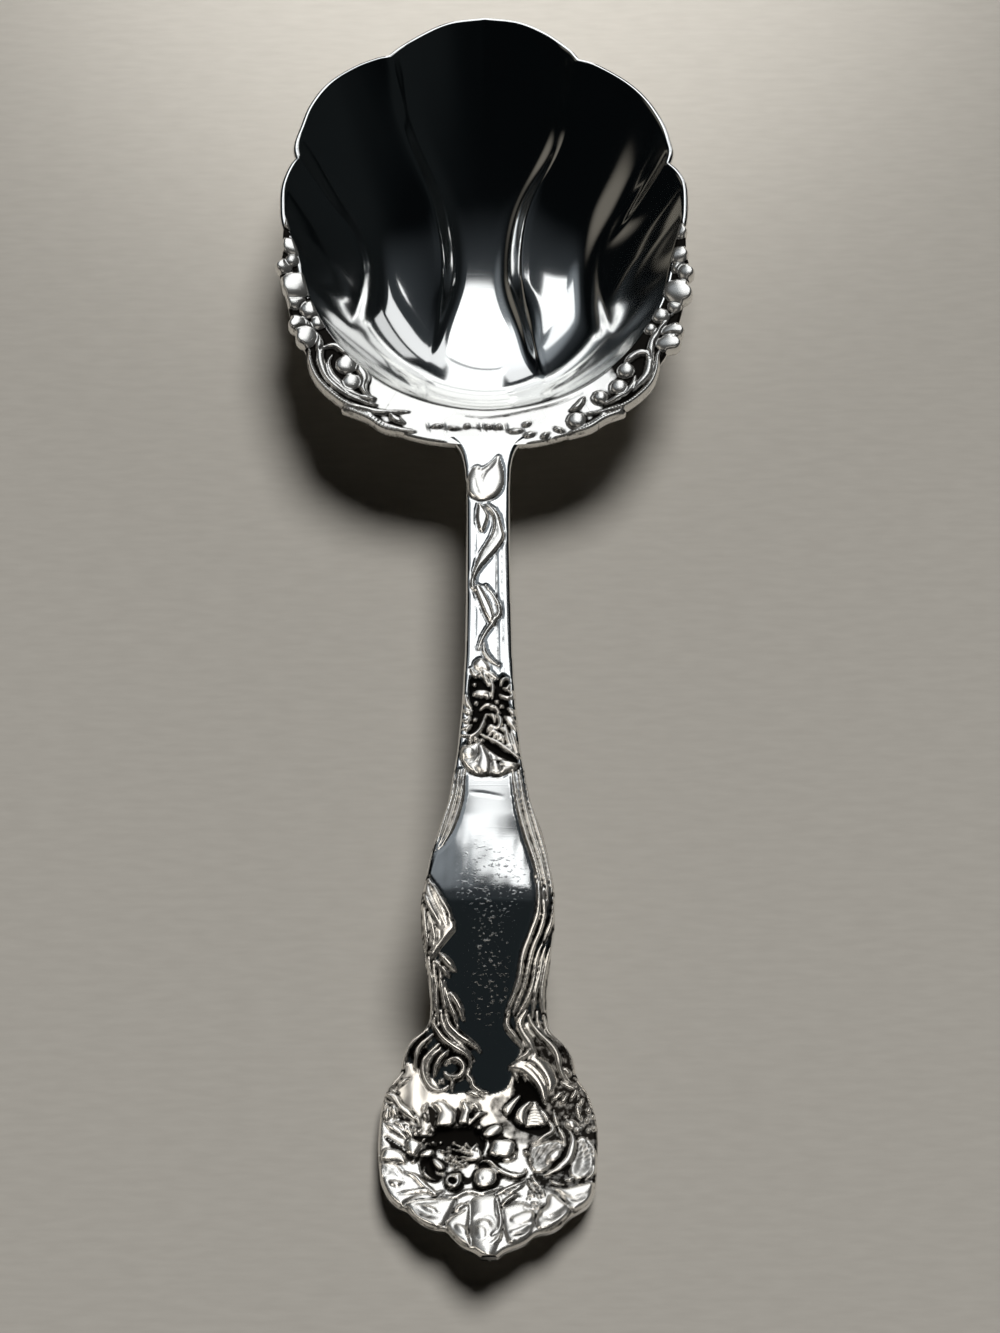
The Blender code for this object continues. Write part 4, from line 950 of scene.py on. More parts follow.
R.blade(TB(262, 1195, 341, 1110, 412, 1055, 496, 1010, 505, 1064, 448, 1160, 377, 1268, 306, 1290), 0.75, LEAF, 0.55, 0.0, 0.2, (0.0, -0.04), moat=0.2)
R.blade(TB(405, 1285, 440, 1200, 519, 1130, 612, 1085, 632, 1150, 580, 1224, 562, 1331, 540, 1408, 466, 1394, 415, 1345), 0.85, LEAF, 0.7, 0.0, 0.25, (0.0, -0.04), moat=0.2)
R.blade(TB(370, 695, 448, 645, 545, 650, 650, 715, 750, 845, 800, 990, 800, 1120, 745, 1085, 700, 970, 620, 860, 530, 785, 440, 745), 0.5, LEAF, 0.6, 0.0, 0.3, (0.0, -0.02), moat=0.16)
for k in range(6):
    R.groove(TB(470 + 42 * k, 758 + 44 * k, 495 + 42 * k, 718 + 42 * k), 0.12, 0.2, (0.9, 0.4), 0.9)
# second ribbed leaf, and the curled one at the edge
R.blade(TD(540, 300, 640, 255, 760, 225, 860, 230, 915, 300, 880, 400, 800, 475, 700, 545, 600, 560, 545, 500, 525, 400), 0.4, LEAF, 0.4, 0.28, 0.0,
        ribs=(*TD(420, 700)[0], 28.0, 0.2))
R.stain_and_shade(TD(545, 310, 640, 265, 760, 235, 855, 240, 905, 300, 870, 395, 790, 465, 700, 535, 605, 550, 555, 495, 535, 400), 0.5)
R.strand(TD(725, 465, 800, 400, 888, 325), 0.95, 0.8, LEAF, 0.3, (0.35, 0.35), 0.2)
R.dome(TD(500, 350)[0], 0.4, 0.55, 0.7, LEAF, 20, 0.15)
R.dome(TD(540, 430)[0], 0.45, 0.6, 0.75, LEAF, 0, 0.15)
R.blade(TD(1040, 210, 1130, 180, 1190, 260, 1245, 400, 1230, 525, 1155, 612, 1060, 640, 985, 610, 965, 520, 1000, 380, 1020, 290), 0.45, LEAF, 0.4, 0.4, 0.0,
        ribs=(*TD(860, 560)[0], 24.0, 0.18))
R.stain_and_shade(TD(1045, 225, 1125, 195, 1180, 265, 1235, 400, 1220, 520, 1150, 600, 1062, 628, 995, 600, 975, 520, 1008, 380, 1028, 295), 0.4)
for pts, w, h, lift in (
        ((752, 0, 792, 105, 700, 172, 560, 262), 0.38, 0.85, 0.1), ((850, 75, 900, 180, 918, 295), 0.28, 0.75, 0.1),
        ((968, 120, 1006, 215, 992, 320, 950, 430, 852, 522, 700, 602), 0.78, 1.0, 0.12), ((1150, 182, 1220, 300, 1256, 420, 1240, 540, 1172, 618, 1080, 652), 0.34, 0.75, 0.1),
        ((745, 640, 830, 688, 905, 692), 0.24, 0.6, 0.1), ((920, 645, 965, 640, 1012, 622), 0.28, 0.65, 0.1)):
    R.strand(TD(*pts), w, h, LEAF, lift, (0.5, 0.45), 0.32)

# ---------------------------------------------------------- the scalloped end
R.blade(TC(90, 470, 105, 640, 170, 790, 320, 925, 400, 870, 560, 800, 720, 800, 790, 760, 700, 790, 620, 735, 560, 680, 480, 600, 370, 560, 300, 480, 200, 450), 0.4, FRONT, 0.7, 0.0, 0.0, (0.0, -0.03), moat=0.2)
R.strand(TC(372, 562, 480, 602, 560, 680, 622, 738, 700, 790, 785, 762), 0.55, 0.7, FRONT, 0.05, (0.5, 0.5))
R.strand(TC(215, 660, 280, 690, 345, 680), 0.55, 0.5, FRONT, 0.3, (0.5, 0.5), 0.2)
R.strand(TC(300, 798, 440, 778, 560, 758, 650, 770), 0.36, 0.55, FRONT, 0.15, (0.5, 0.5))
R.strand(TC(108, 505, 112, 560, 135, 612), 0.36, 0.45, FRONT, 0.3, (0.5, 0.5), 0.2)
for k in range(6):
    R.strand(TC(150 + 22 * k, 470 + 12 * k, 180 + 26 * k, 520 + 16 * k, 190 + 30 * k, 580 + 10 * k), 0.14, 0.3, FRONT, 0.25, (0.6, 0.6), 0.12)
R.blade(TC(385, 905, 440, 870, 560, 850, 700, 838, 820, 830, 920, 850, 900, 930, 830, 1060, 800, 1120, 690, 1150, 560, 1090, 450, 1005), 0.45, FRONT, 0.8, 0.0, 0.0, (0.0, -0.03), moat=0.3)
R.groove(TC(470, 905, 600, 895, 720, 885), 0.26, 0.22)
R.strand(TC(560, 935, 650, 965, 745, 1005), 0.52, 0.4, FRONT, 0.35, (0.5, 0.4), 0.15)
R.groove(TC(480, 980, 590, 1040, 720, 1060), 0.5, 0.25)
R.blade(TC(815, 1120, 860, 1050, 920, 980, 1010, 910, 1080, 880, 1100, 960, 1080, 1080, 1060, 1180, 1090, 1290, 1070, 1350, 980, 1310, 890, 1225), 0.45, FRONT, 0.7, 0.0, 0.0, (0.0, -0.03), moat=0.3)
R.strand(TC(915, 985, 980, 935, 1050, 905), 0.42, 0.4, FRONT, 0.3, (0.5, 0.4), 0.15)
R.groove(TC(865, 1050, 950, 1000, 1045, 962), 0.3, 0.25)
R.dome(TC(985, 1180)[0], 1.3, 0.8, 0.35, FRONT, -45, 0.4, 0.1)
R.blade(TC(1080, 880, 1160, 800, 1300, 780, 1400, 800, 1430, 960, 1410, 1090, 1440, 1200, 1390, 1330, 1330, 1440, 1230, 1460, 1120, 1370, 1080, 1240, 1080, 1060), 0.5, FRONT, 2.4, 0.0, 0.0, (0.0, -0.02), moat=0.08)
R.groove(TC(1120, 1120, 1165, 1065, 1250, 1050, 1320, 1090, 1345, 1180), 0.8, 0.24, (0.2, 0.2), 0.3)
R.dome(TC(1205, 1215)[0], 1.0, 1.5, 0.35, FRONT, 10, 0.42, 0.0)
R.strand(TC(1260, 1340, 1350, 1315, 1420, 1230), 0.42, 0.35, FRONT, 0.35, (0.5, 0.4), 0.1)
R.strand(TC(760, 800, 900, 830, 1060, 770, 1200, 790, 1300, 760, 1420, 720), 0.4, 0.5, FRONT, 0.1, (0.4, 0.4))
# right half
R.blade(TD(210, 960, 330, 900, 450, 880, 560, 940, 600, 1040, 590, 1130, 500, 1260, 330, 1330, 270, 1220, 230, 1090), 0.45, FRONT, 0.8, 0.0, 0.0, (0.0, -0.03), moat=0.3)
R.blade(TD(330, 1060, 450, 992, 560, 985, 588, 1040, 540, 1100, 440, 1122, 345, 1112), 0.3, FRONT, 0.5, 0.0, 0.35, (0.0, -0.05), moat=0.12)
R.blade(TD(320, 1200, 400, 1165, 500, 1125, 540, 1140, 460, 1205, 350, 1235), 0.3, FRONT, 0.5, 0.0, 0.32, (0.0, -0.05), moat=0.12)
R.groove(TD(310, 1255, 400, 1245, 480, 1222, 580, 1135), 0.3, 0.22)
R.dome(TD(345, 1302)[0], 0.6, 0.4, 0.35, FRONT, 20, 0.3, 0.1)
R.blade(TD(600, 1080, 640, 980, 720, 900, 800, 800, 880, 850, 975, 920, 960, 1000, 880, 1090, 760, 1160, 640, 1170), 0.45, FRONT, 0.8, 0.0, 0.0, (0.0, -0.03), moat=0.3)
R.blade(TD(740, 822, 800, 802, 870, 862, 940, 922, 880, 982, 780, 1032, 662, 1040, 652, 990, 720, 930), 0.3, FRONT, 0.6, 0.0, 0.35, (0.0, -0.06), moat=0.12)
R.groove(TD(650, 1080, 800, 1062, 960, 962), 0.34, 0.24)
R.strand(TD(628, 1108, 740, 1122, 862, 1082), 0.24, 0.3, FRONT, 0.3, (0.5, 0.4), 0.1)
R.blade(TD(760, 705, 900, 722, 1050, 692, 1200, 660, 1262, 690, 1240, 800, 1170, 890, 1020, 975, 930, 880, 850, 780), 0.45, FRONT, 0.8, 0.0, 0.0, (0.0, -0.03), moat=0.3)
R.blade(TD(790, 710, 900, 735, 1050, 702, 1200, 672, 1225, 715, 1180, 785, 1100, 815, 1000, 842, 905, 800), 0.3, FRONT, 0.6, 0.0, 0.32, (0.0, -0.06), moat=0.1)
R.groove(TD(925, 838, 1040, 872, 1175, 818), 0.34, 0.24)
R.strand(TD(945, 915, 1020, 945, 1095, 898), 0.26, 0.3, FRONT, 0.3, (0.5, 0.4), 0.1)
R.groove(TD(660, 650, 800, 712, 930, 712, 1100, 645, 1280, 602), 0.3, 0.35)
for pts, w, h in (((165, 802, 300, 742, 420, 690, 500, 642), 0.36, 0.55), ((280, 795, 400, 740, 485, 682), 0.28, 0.5), ((225, 930, 300, 862, 400, 805, 425, 815), 0.4, 0.7),
                  ((185, 830, 205, 960, 225, 1090, 205, 1180, 130, 1245), 0.34, 0.5), ((560, 600, 590, 660, 660, 720), 0.3, 0.55), ((520, 640, 560, 720, 640, 790), 0.3, 0.5)):
    R.strand(TD(*pts), w, h, FRONT, 0.1, (0.5, 0.4), 0.3)
rng = np.random.default_rng(5)
for k in range(26):
    cx, cy = 490 + 230 * rng.random(), 725 + 230 * rng.random()
    R.dome(TD(cx, cy)[0], 0.2 + 0.22 * rng.random(), 0.18 + 0.16 * rng.random(), 0.3 + 0.3 * rng.random(), FRONT, 180 * rng.random(), 0.15, 0.14)

# ----------------------------------------------------------------- the flower
# outer petals at the left: soft folds with veins
R.blade(TC(60, 40, 110, -40, 200, -70, 330, -20, 450, 60, 500, 180, 470, 330, 410, 440, 300, 470, 180, 450, 110, 390, 80, 200), 0.25, FLOWER, 1.4, 0.0, 0.0, moat=0.0)
for pts, w, h, lift in (
        ((170, 1000, 290, 1050, 350, 1150, 420, 1210, 500, 1270, 590, 1360), 0.72, 0.75, 0.0), ((190, 1080, 275, 1140, 335, 1250, 395, 1305), 0.3, 0.4, 0.0),
        ((215, 1160, 205, 1260, 190, 1345), 0.56, 0.65, 0.1), ((262, 1150, 300, 1230, 305, 1305), 0.5, 0.62, 0.1), ((360, 1345, 440, 1390, 520, 1400), 0.6, 0.5, 0.1),
        ((200, 1380, 330, 1450, 445, 1540), 0.66, 0.65, 0.1), ((300, 1330, 420, 1430, 515, 1535), 0.45, 0.6, 0.1), ((430, 1400, 480, 1470, 520, 1560), 0.5, 0.6, 0.1),
        ((640, 1235, 665, 1290, 690, 1340), 0.42, 0.8, 0.2), ((540, 1260, 590, 1340, 600, 1430), 0.34, 0.7, 0.15), ((520, 1400, 560, 1470, 570, 1540), 0.36, 0.65, 0.1),
        ((690, 1130, 655, 1180, 640, 1240), 0.34, 0.5, 0.1), ((1210, 1110, 1270, 1150, 1330, 1210), 0.5, 0.5, 0.05)):
    R.strand(TA(*pts), w, h, FLOWER, lift, (0.5, 0.45), 0.3)
R.stain_and_shade(TA(340, 1262, 400, 1285, 520, 1335, 440, 1345, 370, 1335, 335, 1305), 1.0, 0.2)
for k in range(7):
    R.strand(TC(165 + 30 * k, 178 + 18 * k, 215 + 30 * k, 232 + 18 * k, 250 + 28 * k, 290 + 16 * k), 0.15, 0.35, FLOWER, 0.28, (0.6, 0.6), 0.3)
R.blade(TC(118, 390, 150, 312, 230, 302, 330, 332, 392, 402, 380, 470, 250, 440, 132, 435), 0.5, FLOWER, 0.9, 0.0, 0.15, (0.0, -0.06), moat=0.25)
R.blade(TC(390, 230, 470, 200, 560, 250, 540, 320, 480, 380, 410, 360), 0.45, FLOWER, 0.8, 0.0, 0.15, (0.0, -0.05), moat=0.3)
# the open middle
R.pit(TC(470, 130, 540, 150, 600, 140, 660, 150, 700, 70, 860, 60, 1000, 50, 1130, 60, 1240, 130, 1265, 230, 1235, 340, 1180, 430, 1060, 480, 940, 440, 820, 340, 720, 330, 640, 400, 560, 420, 500, 470, 420, 440, 380, 400, 400, 360, 500, 380, 570, 300, 560, 250, 480, 200), 0.35)
R.pit(TC(520, 430, 600, 420, 680, 400, 720, 560, 800, 580, 760, 660, 680, 680, 590, 640, 540, 560), 0.35)
for tip, r in (((500, 150), 0.3), ((585, 205), 0.28), ((545, 110), 0.34), ((640, 120), 0.3), ((470, 440), 0.34), ((620, 250), 0.26), ((765, 235), 0.2)):
    R.dome(TC(*tip)[0], r * 1.3, r, 0.5, FLOWER, 40, 0.1, 0.2)
# upper petals, leaning over it
R.stain_and_shade(TA(690, 1150, 760, 1160, 800, 1210, 800, 1300, 780, 1420, 720, 1380, 700, 1260), 1.0, 0.3)
R.blade(TA(800, 1418, 900, 1422, 1005, 1405, 1048, 1330, 1042, 1240, 990, 1185, 930, 1120, 860, 1080, 790, 1090, 735, 1130, 765, 1172, 812, 1240, 796, 1330), 0.8, FLOWER, 0.75, 0.0, 0.15, (0.0, -0.16), moat=0.1)
R.blade(TA(1062, 1388, 1130, 1396, 1208, 1385, 1232, 1290, 1240, 1200, 1190, 1120, 1120, 1080, 1085, 1150, 1098, 1220, 1072, 1300), 0.8, FLOWER, 0.7, 0.0, 0.15, (0.0, -0.16), moat=0.1)
R.stain_and_shade(TA(1030, 1175, 1060, 1150, 1085, 1180, 1085, 1240, 1060, 1320, 1040, 1340, 1040, 1240), 1.0, 0.25)
R.strand(TA(1195, 1405, 1240, 1325, 1310, 1268, 1395, 1245), 0.56, 0.75, FLOWER, 0.3, (0.6, 0.5), 0.34)
R.dome(TA(1222, 1285)[0], 0.34, 0.42, -0.2, FLOWER, 0, 0.05, 0.0)
R.strand(TA(715, 1405, 750, 1440, 785, 1485), 0.4, 0.8, FLOWER, 0.2, (0.5, 0.5), 0.3)
# right petals and the lower ones, rolled outwards
R.blade(TD(25, 195, 14, 150, 80, 78, 180, 42, 250, 68, 246, 125, 172, 188, 90, 212), 0.85, FLOWER, 0.85, 0.0, 0.25, (0.02, -0.12), moat=0.34)
R.blade(TD(90, 380, 104, 300, 140, 214, 250, 200, 378, 228, 390, 330, 336, 408, 200, 432), 0.95, FLOWER, 1.0, 0.0, 0.25, (0.02, -0.1), moat=0.34)
R.strand(TD(60, 470, 130, 500, 230, 560, 330, 600, 420, 606, 482, 580, 492, 530), 0.56, 0.75, FLOWER, 0.3, (0.5, 0.5), 0.34)
R.strand(TD(195, 412, 290, 436, 372, 404, 394, 330), 0.26, 0.4, FLOWER, 0.15, (0.5, 0.5), 0.34)
R.blade(TC(525, 405, 584, 326, 684, 314, 705, 372, 644, 410), 0.7, FLOWER, 0.6, 0.0, 0.3, (0.0, -0.1), moat=0.3)
R.blade(TC(656, 438, 710, 412, 800, 478, 820, 535, 762, 560, 686, 508), 0.75, FLOWER, 0.6, 0.0, 0.35, (0.0, -0.08), moat=0.3)
R.dome(TC(682, 250)[0], 0.62, 0.36, 0.7, FLOWER, 0, 0.3, 0.3)
R.strand(TC(588, 495, 588, 570, 640, 622, 705, 638), 0.3, 0.7, FLOWER, 0.3, (0.5, 0.5), 0.34)
R.blade(TC(800, 690, 812, 610, 880, 575, 985, 572, 1006, 640, 985, 720, 920, 758, 840, 742), 0.95, FLOWER, 0.9, 0.0, 0.3, (0.03, -0.06), moat=0.34)
R.dome(TC(888, 668)[0], 0.62, 0.5, -0.4, FLOWER, -35, 0.55, 0.0)
R.stain_and_shade(TC(848, 672, 880, 632, 925, 650, 932, 690, 890, 712), 1.0, 0.15)
R.blade(TC(1108, 650, 1118, 575, 1190, 515, 1290, 510, 1372, 560, 1388, 640, 1352, 712, 1250, 748, 1150, 732), 1.0, FLOWER, 1.1, 0.0, 0.3, (0.0, -0.07), moat=0.34)
R.groove(TC(1118, 610, 1140, 650, 1135, 700), 0.24, 0.35)
R.groove(TC(1195, 640, 1215, 662), 0.16, 0.2)
R.strand(TC(1150, 520, 1200, 465, 1290, 455, 1390, 520), 0.3, 0.5, FLOWER, 0.8, (0.5, 0.5), 0.2)
R.dome(TC(1180, 92)[0], 0.66, 0.66, 0.8, FLOWER, 0, 0.4, 0.3)
R.stain_and_shade(TC(1010, 600, 1060, 610, 1100, 600, 1100, 680, 1060, 700, 1005, 690), 1.0, 0.2)

# ---------------------------------------------------------------- the stamens
for tip in ((905, 250), (850, 300), (980, 330), (1040, 262), (1010, 300), (1125, 292), (1095, 330), (1150, 270), (930, 400), (1000, 440)):
    R.strand(TC(1205, 428, 0.5 * (1205 + tip[0]) + 8, 0.5 * (428 + tip[1]) - 8, *tip), 0.17, 0.35, STAMEN, 0.7, (0.9, 0.9), 0.05)
    R.dome(TC(*tip)[0], 0.36, 0.28, 0.45, STAMEN, 30, 0.75, 0.06)
for cx, cy, rx_, ry_, a in ((790, 340, 0.55, 0.3, -20), (850, 345, 0.5, 0.28, 25), (870, 390, 0.55, 0.35, -35), (830, 420, 0.5, 0.3, 10), (905, 440, 0.5, 0.35, 40), (960, 465, 0.45, 0.35, -20),
                          (1000, 490, 0.5, 0.36, 10), (940, 520, 0.55, 0.3, 30), (1040, 470, 0.35, 0.3, 0), (880, 480, 0.4, 0.3, 0)):
    R.dome(TC(cx, cy)[0], rx_, ry_, 0.5, STAMEN, a, 0.5, 0.2)

# -------------------------------------------------------------- handle meshes
R.H = R.H * np.array((1, 0.6, 0.6, 0.78, 1, 1, 1, 1, 1, 1, 1, 1))[R.L]       # the stem's work lies lower
R.H = blur(R.H, 0.85)
q = -r_sdf
shown = np.where(R.L > 0, np.maximum(R.H, 0.0), R.H)
r_sink = blur(shown, 3.4) - shown
cover = blur((R.L > 0).astype(float), 4.5)
r_dark = smoothstep(r_sink, 0.06, 0.36)
r_dark = np.maximum(r_dark, np.where(R.L > 0, np.minimum(blur(R.D, 0.7), R.D + 0.12), blur(R.D, 0.7)))
# painted shade: bare ground mostly surrounded by relief forms is darkened
r_dark = np.maximum(r_dark, np.where(R.L == 0, smoothstep(cover, 0.55, 0.8) * 0.8, 0))
# painted shade: steep sides of the relief are darkened
gy_, gx_ = np.gradient(shown, R.step)
slope_shade = np.array((0, 0.3, 0.35, 0.6, 0.75, 0.75, 0.8, 0.8, 0.8, 0.2, 0.8, 0.95))[R.L]          # less on the fine work
r_dark = np.maximum(r_dark, slope_shade * smoothstep(blur(np.hypot(gx_, gy_), 0.6), 0.8, 1.8))
EDGE = 0.75


def top_z(x, y, depth):
    return face_z(x, y) - EDGE * (1 - rounded(depth, EDGE))


def back_z(x, y, depth):
    thick = np.interp(y, fine[:, 0], fine[:, 2])
    w = np.interp(y, WIDTH[:, 0], WIDTH[:, 1])
    z = np.interp(y, fine[:, 0], fine[:, 1]) - thick + 0.35 * np.minimum(np.square(x / w), 1.2)
    flat = smoothstep(y, -104.0, -100.5) * (1 - smoothstep(y, -97.5, -94.0))
    return np.maximum(z * (1 - flat), 0.0) + 0.7 * (1 - rounded(depth, 0.7))


G = Field(-19.5, 19.5, -117.5, 26.5, 0.23)
g_sdf = R.sample(r_sdf, G.X, G.Y)
x, y, use = G.snapped(g_sdf, 0.0)
depth = np.maximum(-R.sample(r_open, x, y), 0)
low = blur((R.L > 0).astype(float), 1.2) > 0.02
ground = np.where(R.L == 0, np.minimum(R.H, 0.0), 0.0) - 0.06 * low
zt = top_z(x, y, depth) + R.sample(ground, x, y) * rounded(depth, 0.8)
hand = 0.004 * np.sin(2.3 * x + 0.13 * y + 1.0) + 0.002 * np.sin(3.9 * x - 0.21 * y) + 0.0022 * np.sin(1.1 * x + 0.83 * y + 0.4) + 0.0022 * np.sin(-1.7 * x + 1.31 * y)
hand = hand - 0.0033 * x * (y + 58.0)
zt = zt + hand * smoothstep(y, -74, -66) * (1 - smoothstep(y, -52, -46))         # the panel was worked by hand: not quite flat
zb = back_z(x, y, depth)
spot = plan(490, 938)
worn = np.exp(-((x - spot[0]) / 3.6) ** 2 - ((y - spot[1]) / 12.0) ** 4)
satin = R.sample(1 - smoothstep(R.polygon(spline(TERMINAL, 5, True), 2.0), -0.5, 0.5), x, y)
grid_solid("handle_body", x, y, zt, zb, use, use, blank, "polished_silver", ("handle_blank",), 3, 60, 0.0, dark=R.sample(r_dark, x, y), wear=worn, satin=satin)

LEVEL = -0.07
sx, sy, s_use = R.snapped(r_sdf, LEVEL)
depth = np.maximum(-R.sample(r_sdf, sx, sy), 0)
base = top_z(sx, sy, depth)
soft = rounded(depth - 0.07, 0.65)
for k, node in enumerate(NODES, 1):
    core = R.L == k
    wide = core.copy()                                  # one row further over bare ground, where the heights meet
    wide[1:] |= core[:-1]; wide[:-1] |= core[1:]
    wide[:, 1:] |= wide[:, :-1].copy(); wide[:, :-1] |= wide[:, 1:].copy()
    core = (core | (wide & (R.L == 0))) & s_use
    near = core.copy()
    near[1:] |= core[:-1]; near[:-1] |= core[1:]
    near[:, 1:] |= near[:, :-1].copy(); near[:, :-1] |= near[:, 1:].copy()
    near &= s_use
    height = np.where(core, R.H, np.minimum(R.H, 0.3) - 0.28)
    zt = base + height * soft - 0.12 * (1 - soft)
    zb = base - 1.0
    grid_solid("relief_" + node, sx, sy, zt, zb, near, core, worked, "relief_silver", (node,), 0, 75, 0.9, dark=r_dark)

for name in ("heel_tongue",):
    obj = frame["nodes"][name]
    obj.data.materials.clear()
    obj.data.materials.append(polish)

# ------------------------------------------------------ floor, lights, camera
scene = bpy.context.scene
floor_mat = bpy.data.materials.new("table")
floor_mat.use_nodes = True
tree = floor_mat.node_tree
fb = tree.nodes["Principled BSDF"]
fb.inputs["Roughness"].default_value = 0.6
fb.inputs["Specular IOR Level"].default_value = 0.3
coord = tree.nodes.new("ShaderNodeTexCoord")
place = tree.nodes.new("ShaderNodeMapping")
place.inputs["Scale"].default_value = (1, 5, 1)
grain = tree.nodes.new("ShaderNodeTexNoise")
grain.inputs["Scale"].default_value = 180
grain.inputs["Detail"].default_value = 5
ramp = tree.nodes.new("ShaderNodeValToRGB")
ramp.color_ramp.elements[0].position, ramp.color_ramp.elements[1].position = 0.3, 0.7
ramp.color_ramp.elements[0].color = (0.545, 0.52, 0.477, 1)
ramp.color_ramp.elements[1].color = (0.585, 0.56, 0.515, 1)
tree.links.new(coord.outputs["Object"], place.inputs["Vector"])
tree.links.new(place.outputs["Vector"], grain.inputs["Vector"])
tree.links.new(grain.outputs["Fac"], ramp.inputs["Fac"])
tree.links.new(ramp.outputs["Color"], fb.inputs["Base Color"])
bpy.ops.mesh.primitive_plane_add(size=6, location=(0, 0, 0))
floor = bpy.context.object
floor.name = "floor"
floor.data.materials.append(floor_mat)


def area(name, direction_az, elev, dist, w, h, power, colour=(1, 1, 1)):
    """A rectangular light facing the spoon. Azimuth 0 is the far side (+Y), positive to the right."""
    a, e = math.radians(direction_az), math.radians(elev)
    pos = Vector((math.sin(a) * math.cos(e), math.cos(a) * math.cos(e), math.sin(e))) * dist
    data = bpy.data.lights.new(name, "AREA")
    data.shape = "RECTANGLE"
    data.size, data.size_y = w, h
    data.energy = power
    data.color = colour
    obj = bpy.data.objects.new(name, data)
    obj.location = pos
    obj.rotation_euler = (-pos).to_track_quat("-Z", "Y").to_euler()
    scene.collection.objects.link(obj)
    return obj


def pane(name, az, elev, dist, w, h, radiance, colour, group):
    """A window pane or soft box that shows only in the reflections of one group of pieces."""
    light = area(name, az, elev, dist, w, h, radiance * math.pi * w * h, colour)
    light.visible_diffuse = False
    light.light_linking.receiver_collection = group
    return light


smooth, bowl_only, handle_only = (bpy.data.collections.new(n) for n in ("smooth_pieces", "bowl_piece", "handle_piece"))
rim, relief_only = bpy.data.collections.new("rim_pieces"), bpy.data.collections.new("relief_pieces")
for obj in list(bpy.data.objects):
    if obj.name.startswith("border_"):
        rim.objects.link(obj)
    elif obj.name.startswith("relief_"):
        relief_only.objects.link(obj)
    elif obj.name in ("bowl_shell", "handle_body"):
        smooth.objects.link(obj)
        (bowl_only if obj.name == "bowl_shell" else handle_only).objects.link(obj)
smooth.objects.link(frame["nodes"]["heel_tongue"])
DAY = (0.955, 0.98, 1.0)
pane("window_low", 5, 23.2, 1.6, 0.60, 1.27, 1.3, DAY, smooth)
pane("window_high", 6, 56.3, 1.6, 0.46, 0.55, 1.35, DAY, smooth)
pane("window_right", 30, 41, 1.6, 0.5, 0.55, 0.95, DAY, bowl_only)
pane("window_right_low", 38, 19, 1.6, 0.3, 0.5, 0.75, DAY, bowl_only)
pane("window_left", -17, 41, 1.6, 0.42, 1.1, 0.95, DAY, bowl_only)
pane("ceiling", 180, 58, 1.5, 2.0, 2.8, 0.013, (0.7, 0.9, 1.0), handle_only)
pane("ornament_window", 5, 42, 1.6, 0.7, 2.1, 1.6, DAY, relief_only)
pane("rim_window", 5, 40, 1.6, 0.7, 1.9, 1.3, DAY, rim)
pane("ornament_top", -8, 88, 1.5, 0.8, 0.7, 1.5, (1.0, 0.97, 0.92), relief_only)
pane("ornament_front", 172, 60, 1.5, 0.7, 1.0, 2.3, (1.0, 0.96, 0.9), relief_only)
pane("ornament_left", -98, 42, 1.5, 0.8, 0.7, 1.8, (1.0, 0.95, 0.87), relief_only)
pane("rim_front", 172, 60, 1.5, 0.7, 1.0, 0.3, (1.0, 0.96, 0.9), rim)
pane("rim_left", -98, 42, 1.5, 0.8, 0.7, 0.4, (1.0, 0.95, 0.87), rim)


def sun(name, az, elev, angle, strength, colour):
    """Even soft daylight from one side."""
    a, e = math.radians(az), math.radians(elev)
    data = bpy.data.lights.new(name, "SUN")
    data.angle, data.energy, data.color = math.radians(angle), strength, colour
    obj = bpy.data.objects.new(name, data)
    obj.rotation_euler = Vector((-math.sin(a) * math.cos(e), -math.cos(a) * math.cos(e), -math.sin(e))).to_track_quat("-Z", "Y").to_euler()
    scene.collection.objects.link(obj)
    return obj


key = sun("window_key", 22, 61, 27, 2.2, (1.0, 0.985, 0.955))
key.visible_glossy = False
pool = bpy.data.lights.new("window_glow", "SPOT")        # the window's glow on the table, beyond the bowl
pool.energy, pool.color, pool.spot_size, pool.spot_blend, pool.shadow_soft_size = 6.6, (1.0, 0.985, 0.955), math.radians(32), 1.0, 0.03
glow_lamp = bpy.data.objects.new("window_glow", pool)
glow_lamp.location = (0.0, 0.30, 0.42)
glow_lamp.rotation_euler = Vector((0.0, -0.12, -0.42)).to_track_quat("-Z", "Y").to_euler()
glow_lamp.visible_glossy = False
on_table = bpy.data.collections.new("table_only")
on_table.objects.link(floor)
glow_lamp.light_linking.receiver_collection = on_table
scene.collection.objects.link(glow_lamp)

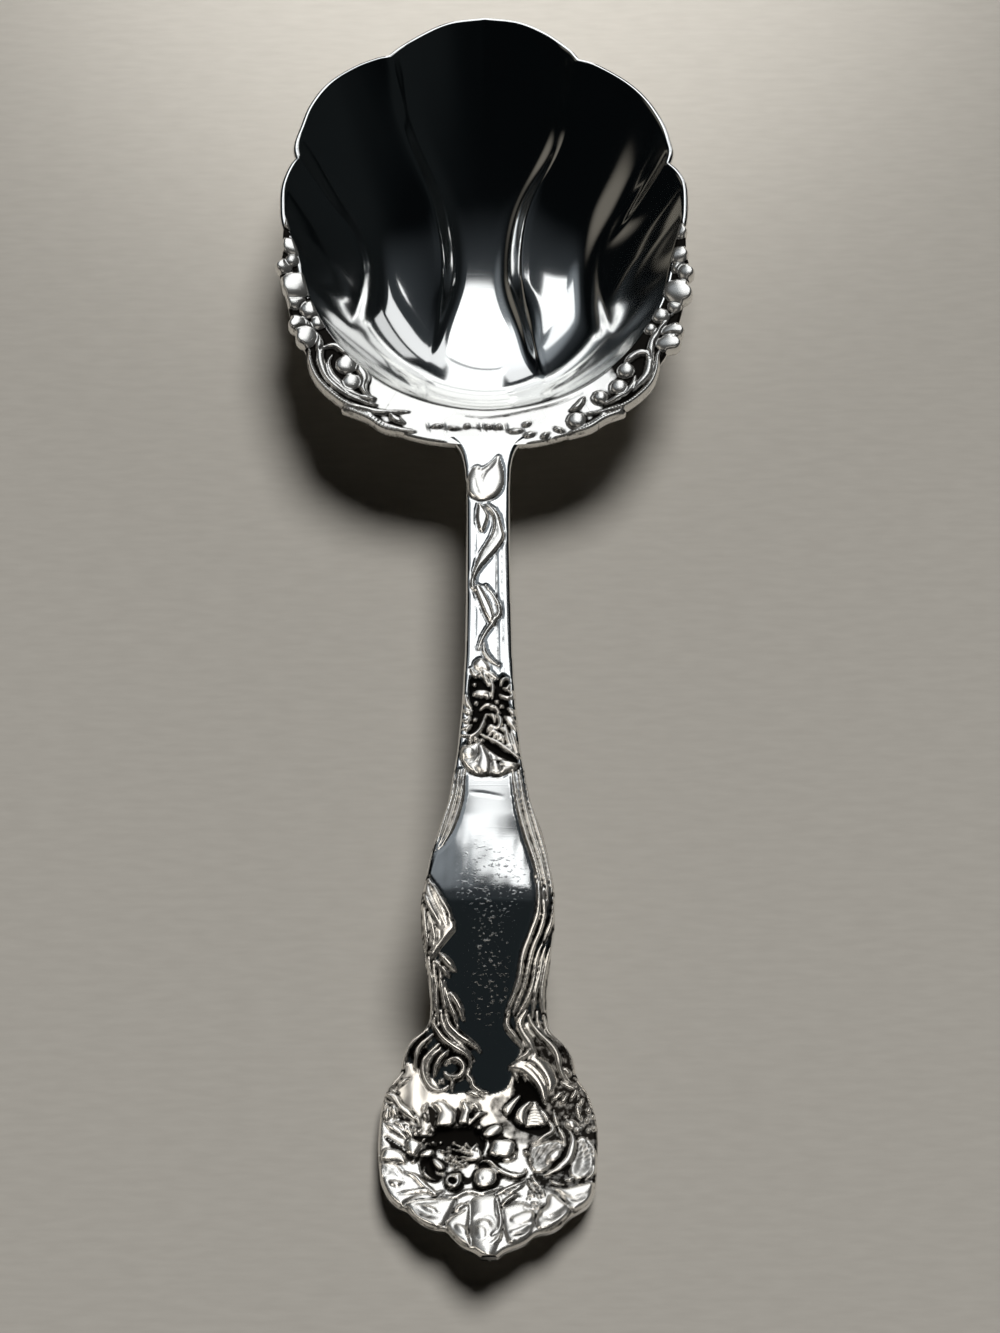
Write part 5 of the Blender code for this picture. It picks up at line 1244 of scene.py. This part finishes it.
# The room: almost black, with soft glows round the window and on the walls.
world = bpy.data.worlds.new("room")
scene.world = world
world.cycles_visibility.diffuse = False
world.use_nodes = True
wt = world.node_tree
direction = wt.nodes.new("ShaderNodeTexCoord").outputs["Generated"]
total = None
for az, elev, near_deg, far_deg, colour, strength in (
        (-2, 48, 0, 44, (0.75, 0.88, 1.0), 0.045),
        (-26, 52, 0, 19, (0.82, 0.91, 1.0), 0.24),
        (95, 22, 5, 70, (0.8, 0.95, 1.0), 0.006),
        (-78, 36, 4, 15, (1.0, 0.93, 0.8), 0.14)):
    a, e = math.radians(az), math.radians(elev)
    dot = wt.nodes.new("ShaderNodeVectorMath")
    dot.operation = "DOT_PRODUCT"
    wt.links.new(direction, dot.inputs[0])
    dot.inputs[1].default_value = (math.sin(a) * math.cos(e), math.cos(a) * math.cos(e), math.sin(e))
    glow = wt.nodes.new("ShaderNodeMapRange")
    glow.interpolation_type = "SMOOTHSTEP"
    wt.links.new(dot.outputs["Value"], glow.inputs[0])
    glow.inputs[1].default_value, glow.inputs[2].default_value = math.cos(math.radians(far_deg)), math.cos(math.radians(near_deg))
    tint = wt.nodes.new("ShaderNodeVectorMath")
    tint.operation = "SCALE"
    tint.inputs[0].default_value = [c * strength for c in colour]
    wt.links.new(glow.outputs[0], tint.inputs["Scale"])
    if total is None:
        first = wt.nodes.new("ShaderNodeVectorMath")
        first.operation = "ADD"
        first.inputs[1].default_value = (0.0016, 0.0022, 0.0026)
        wt.links.new(tint.outputs[0], first.inputs[0])
        total = first.outputs[0]
    else:
        more = wt.nodes.new("ShaderNodeVectorMath")
        more.operation = "ADD"
        wt.links.new(total, more.inputs[0])
        wt.links.new(tint.outputs[0], more.inputs[1])
        total = more.outputs[0]
wt.links.new(total, wt.nodes["Background"].inputs["Color"])
# Seen directly, behind the floor's far edge, it is a plain pale backdrop.
backdrop = wt.nodes.new("ShaderNodeBackground")
backdrop.inputs["Color"].default_value = (0.36, 0.345, 0.315, 1)
seen = wt.nodes.new("ShaderNodeMixShader")
wt.links.new(wt.nodes.new("ShaderNodeLightPath").outputs["Is Camera Ray"], seen.inputs[0])
wt.links.new(wt.nodes["Background"].outputs[0], seen.inputs[1])
wt.links.new(backdrop.outputs[0], seen.inputs[2])
wt.links.new(seen.outputs[0], wt.nodes["World Output"].inputs["Surface"])

cam = bpy.data.cameras.new("camera")
cam.sensor_width = 36
cam.lens = FOCAL * 36 / 1333
cam.clip_start, cam.clip_end = 0.02, 20
co = bpy.data.objects.new("camera", cam)
m = Matrix((RIGHT, UP, -FORWARD)).transposed().to_4x4()
m.translation = Vector(CAM * 0.001)
co.matrix_world = m
scene.collection.objects.link(co)
scene.camera = co
scene.view_settings.view_transform = "Standard"
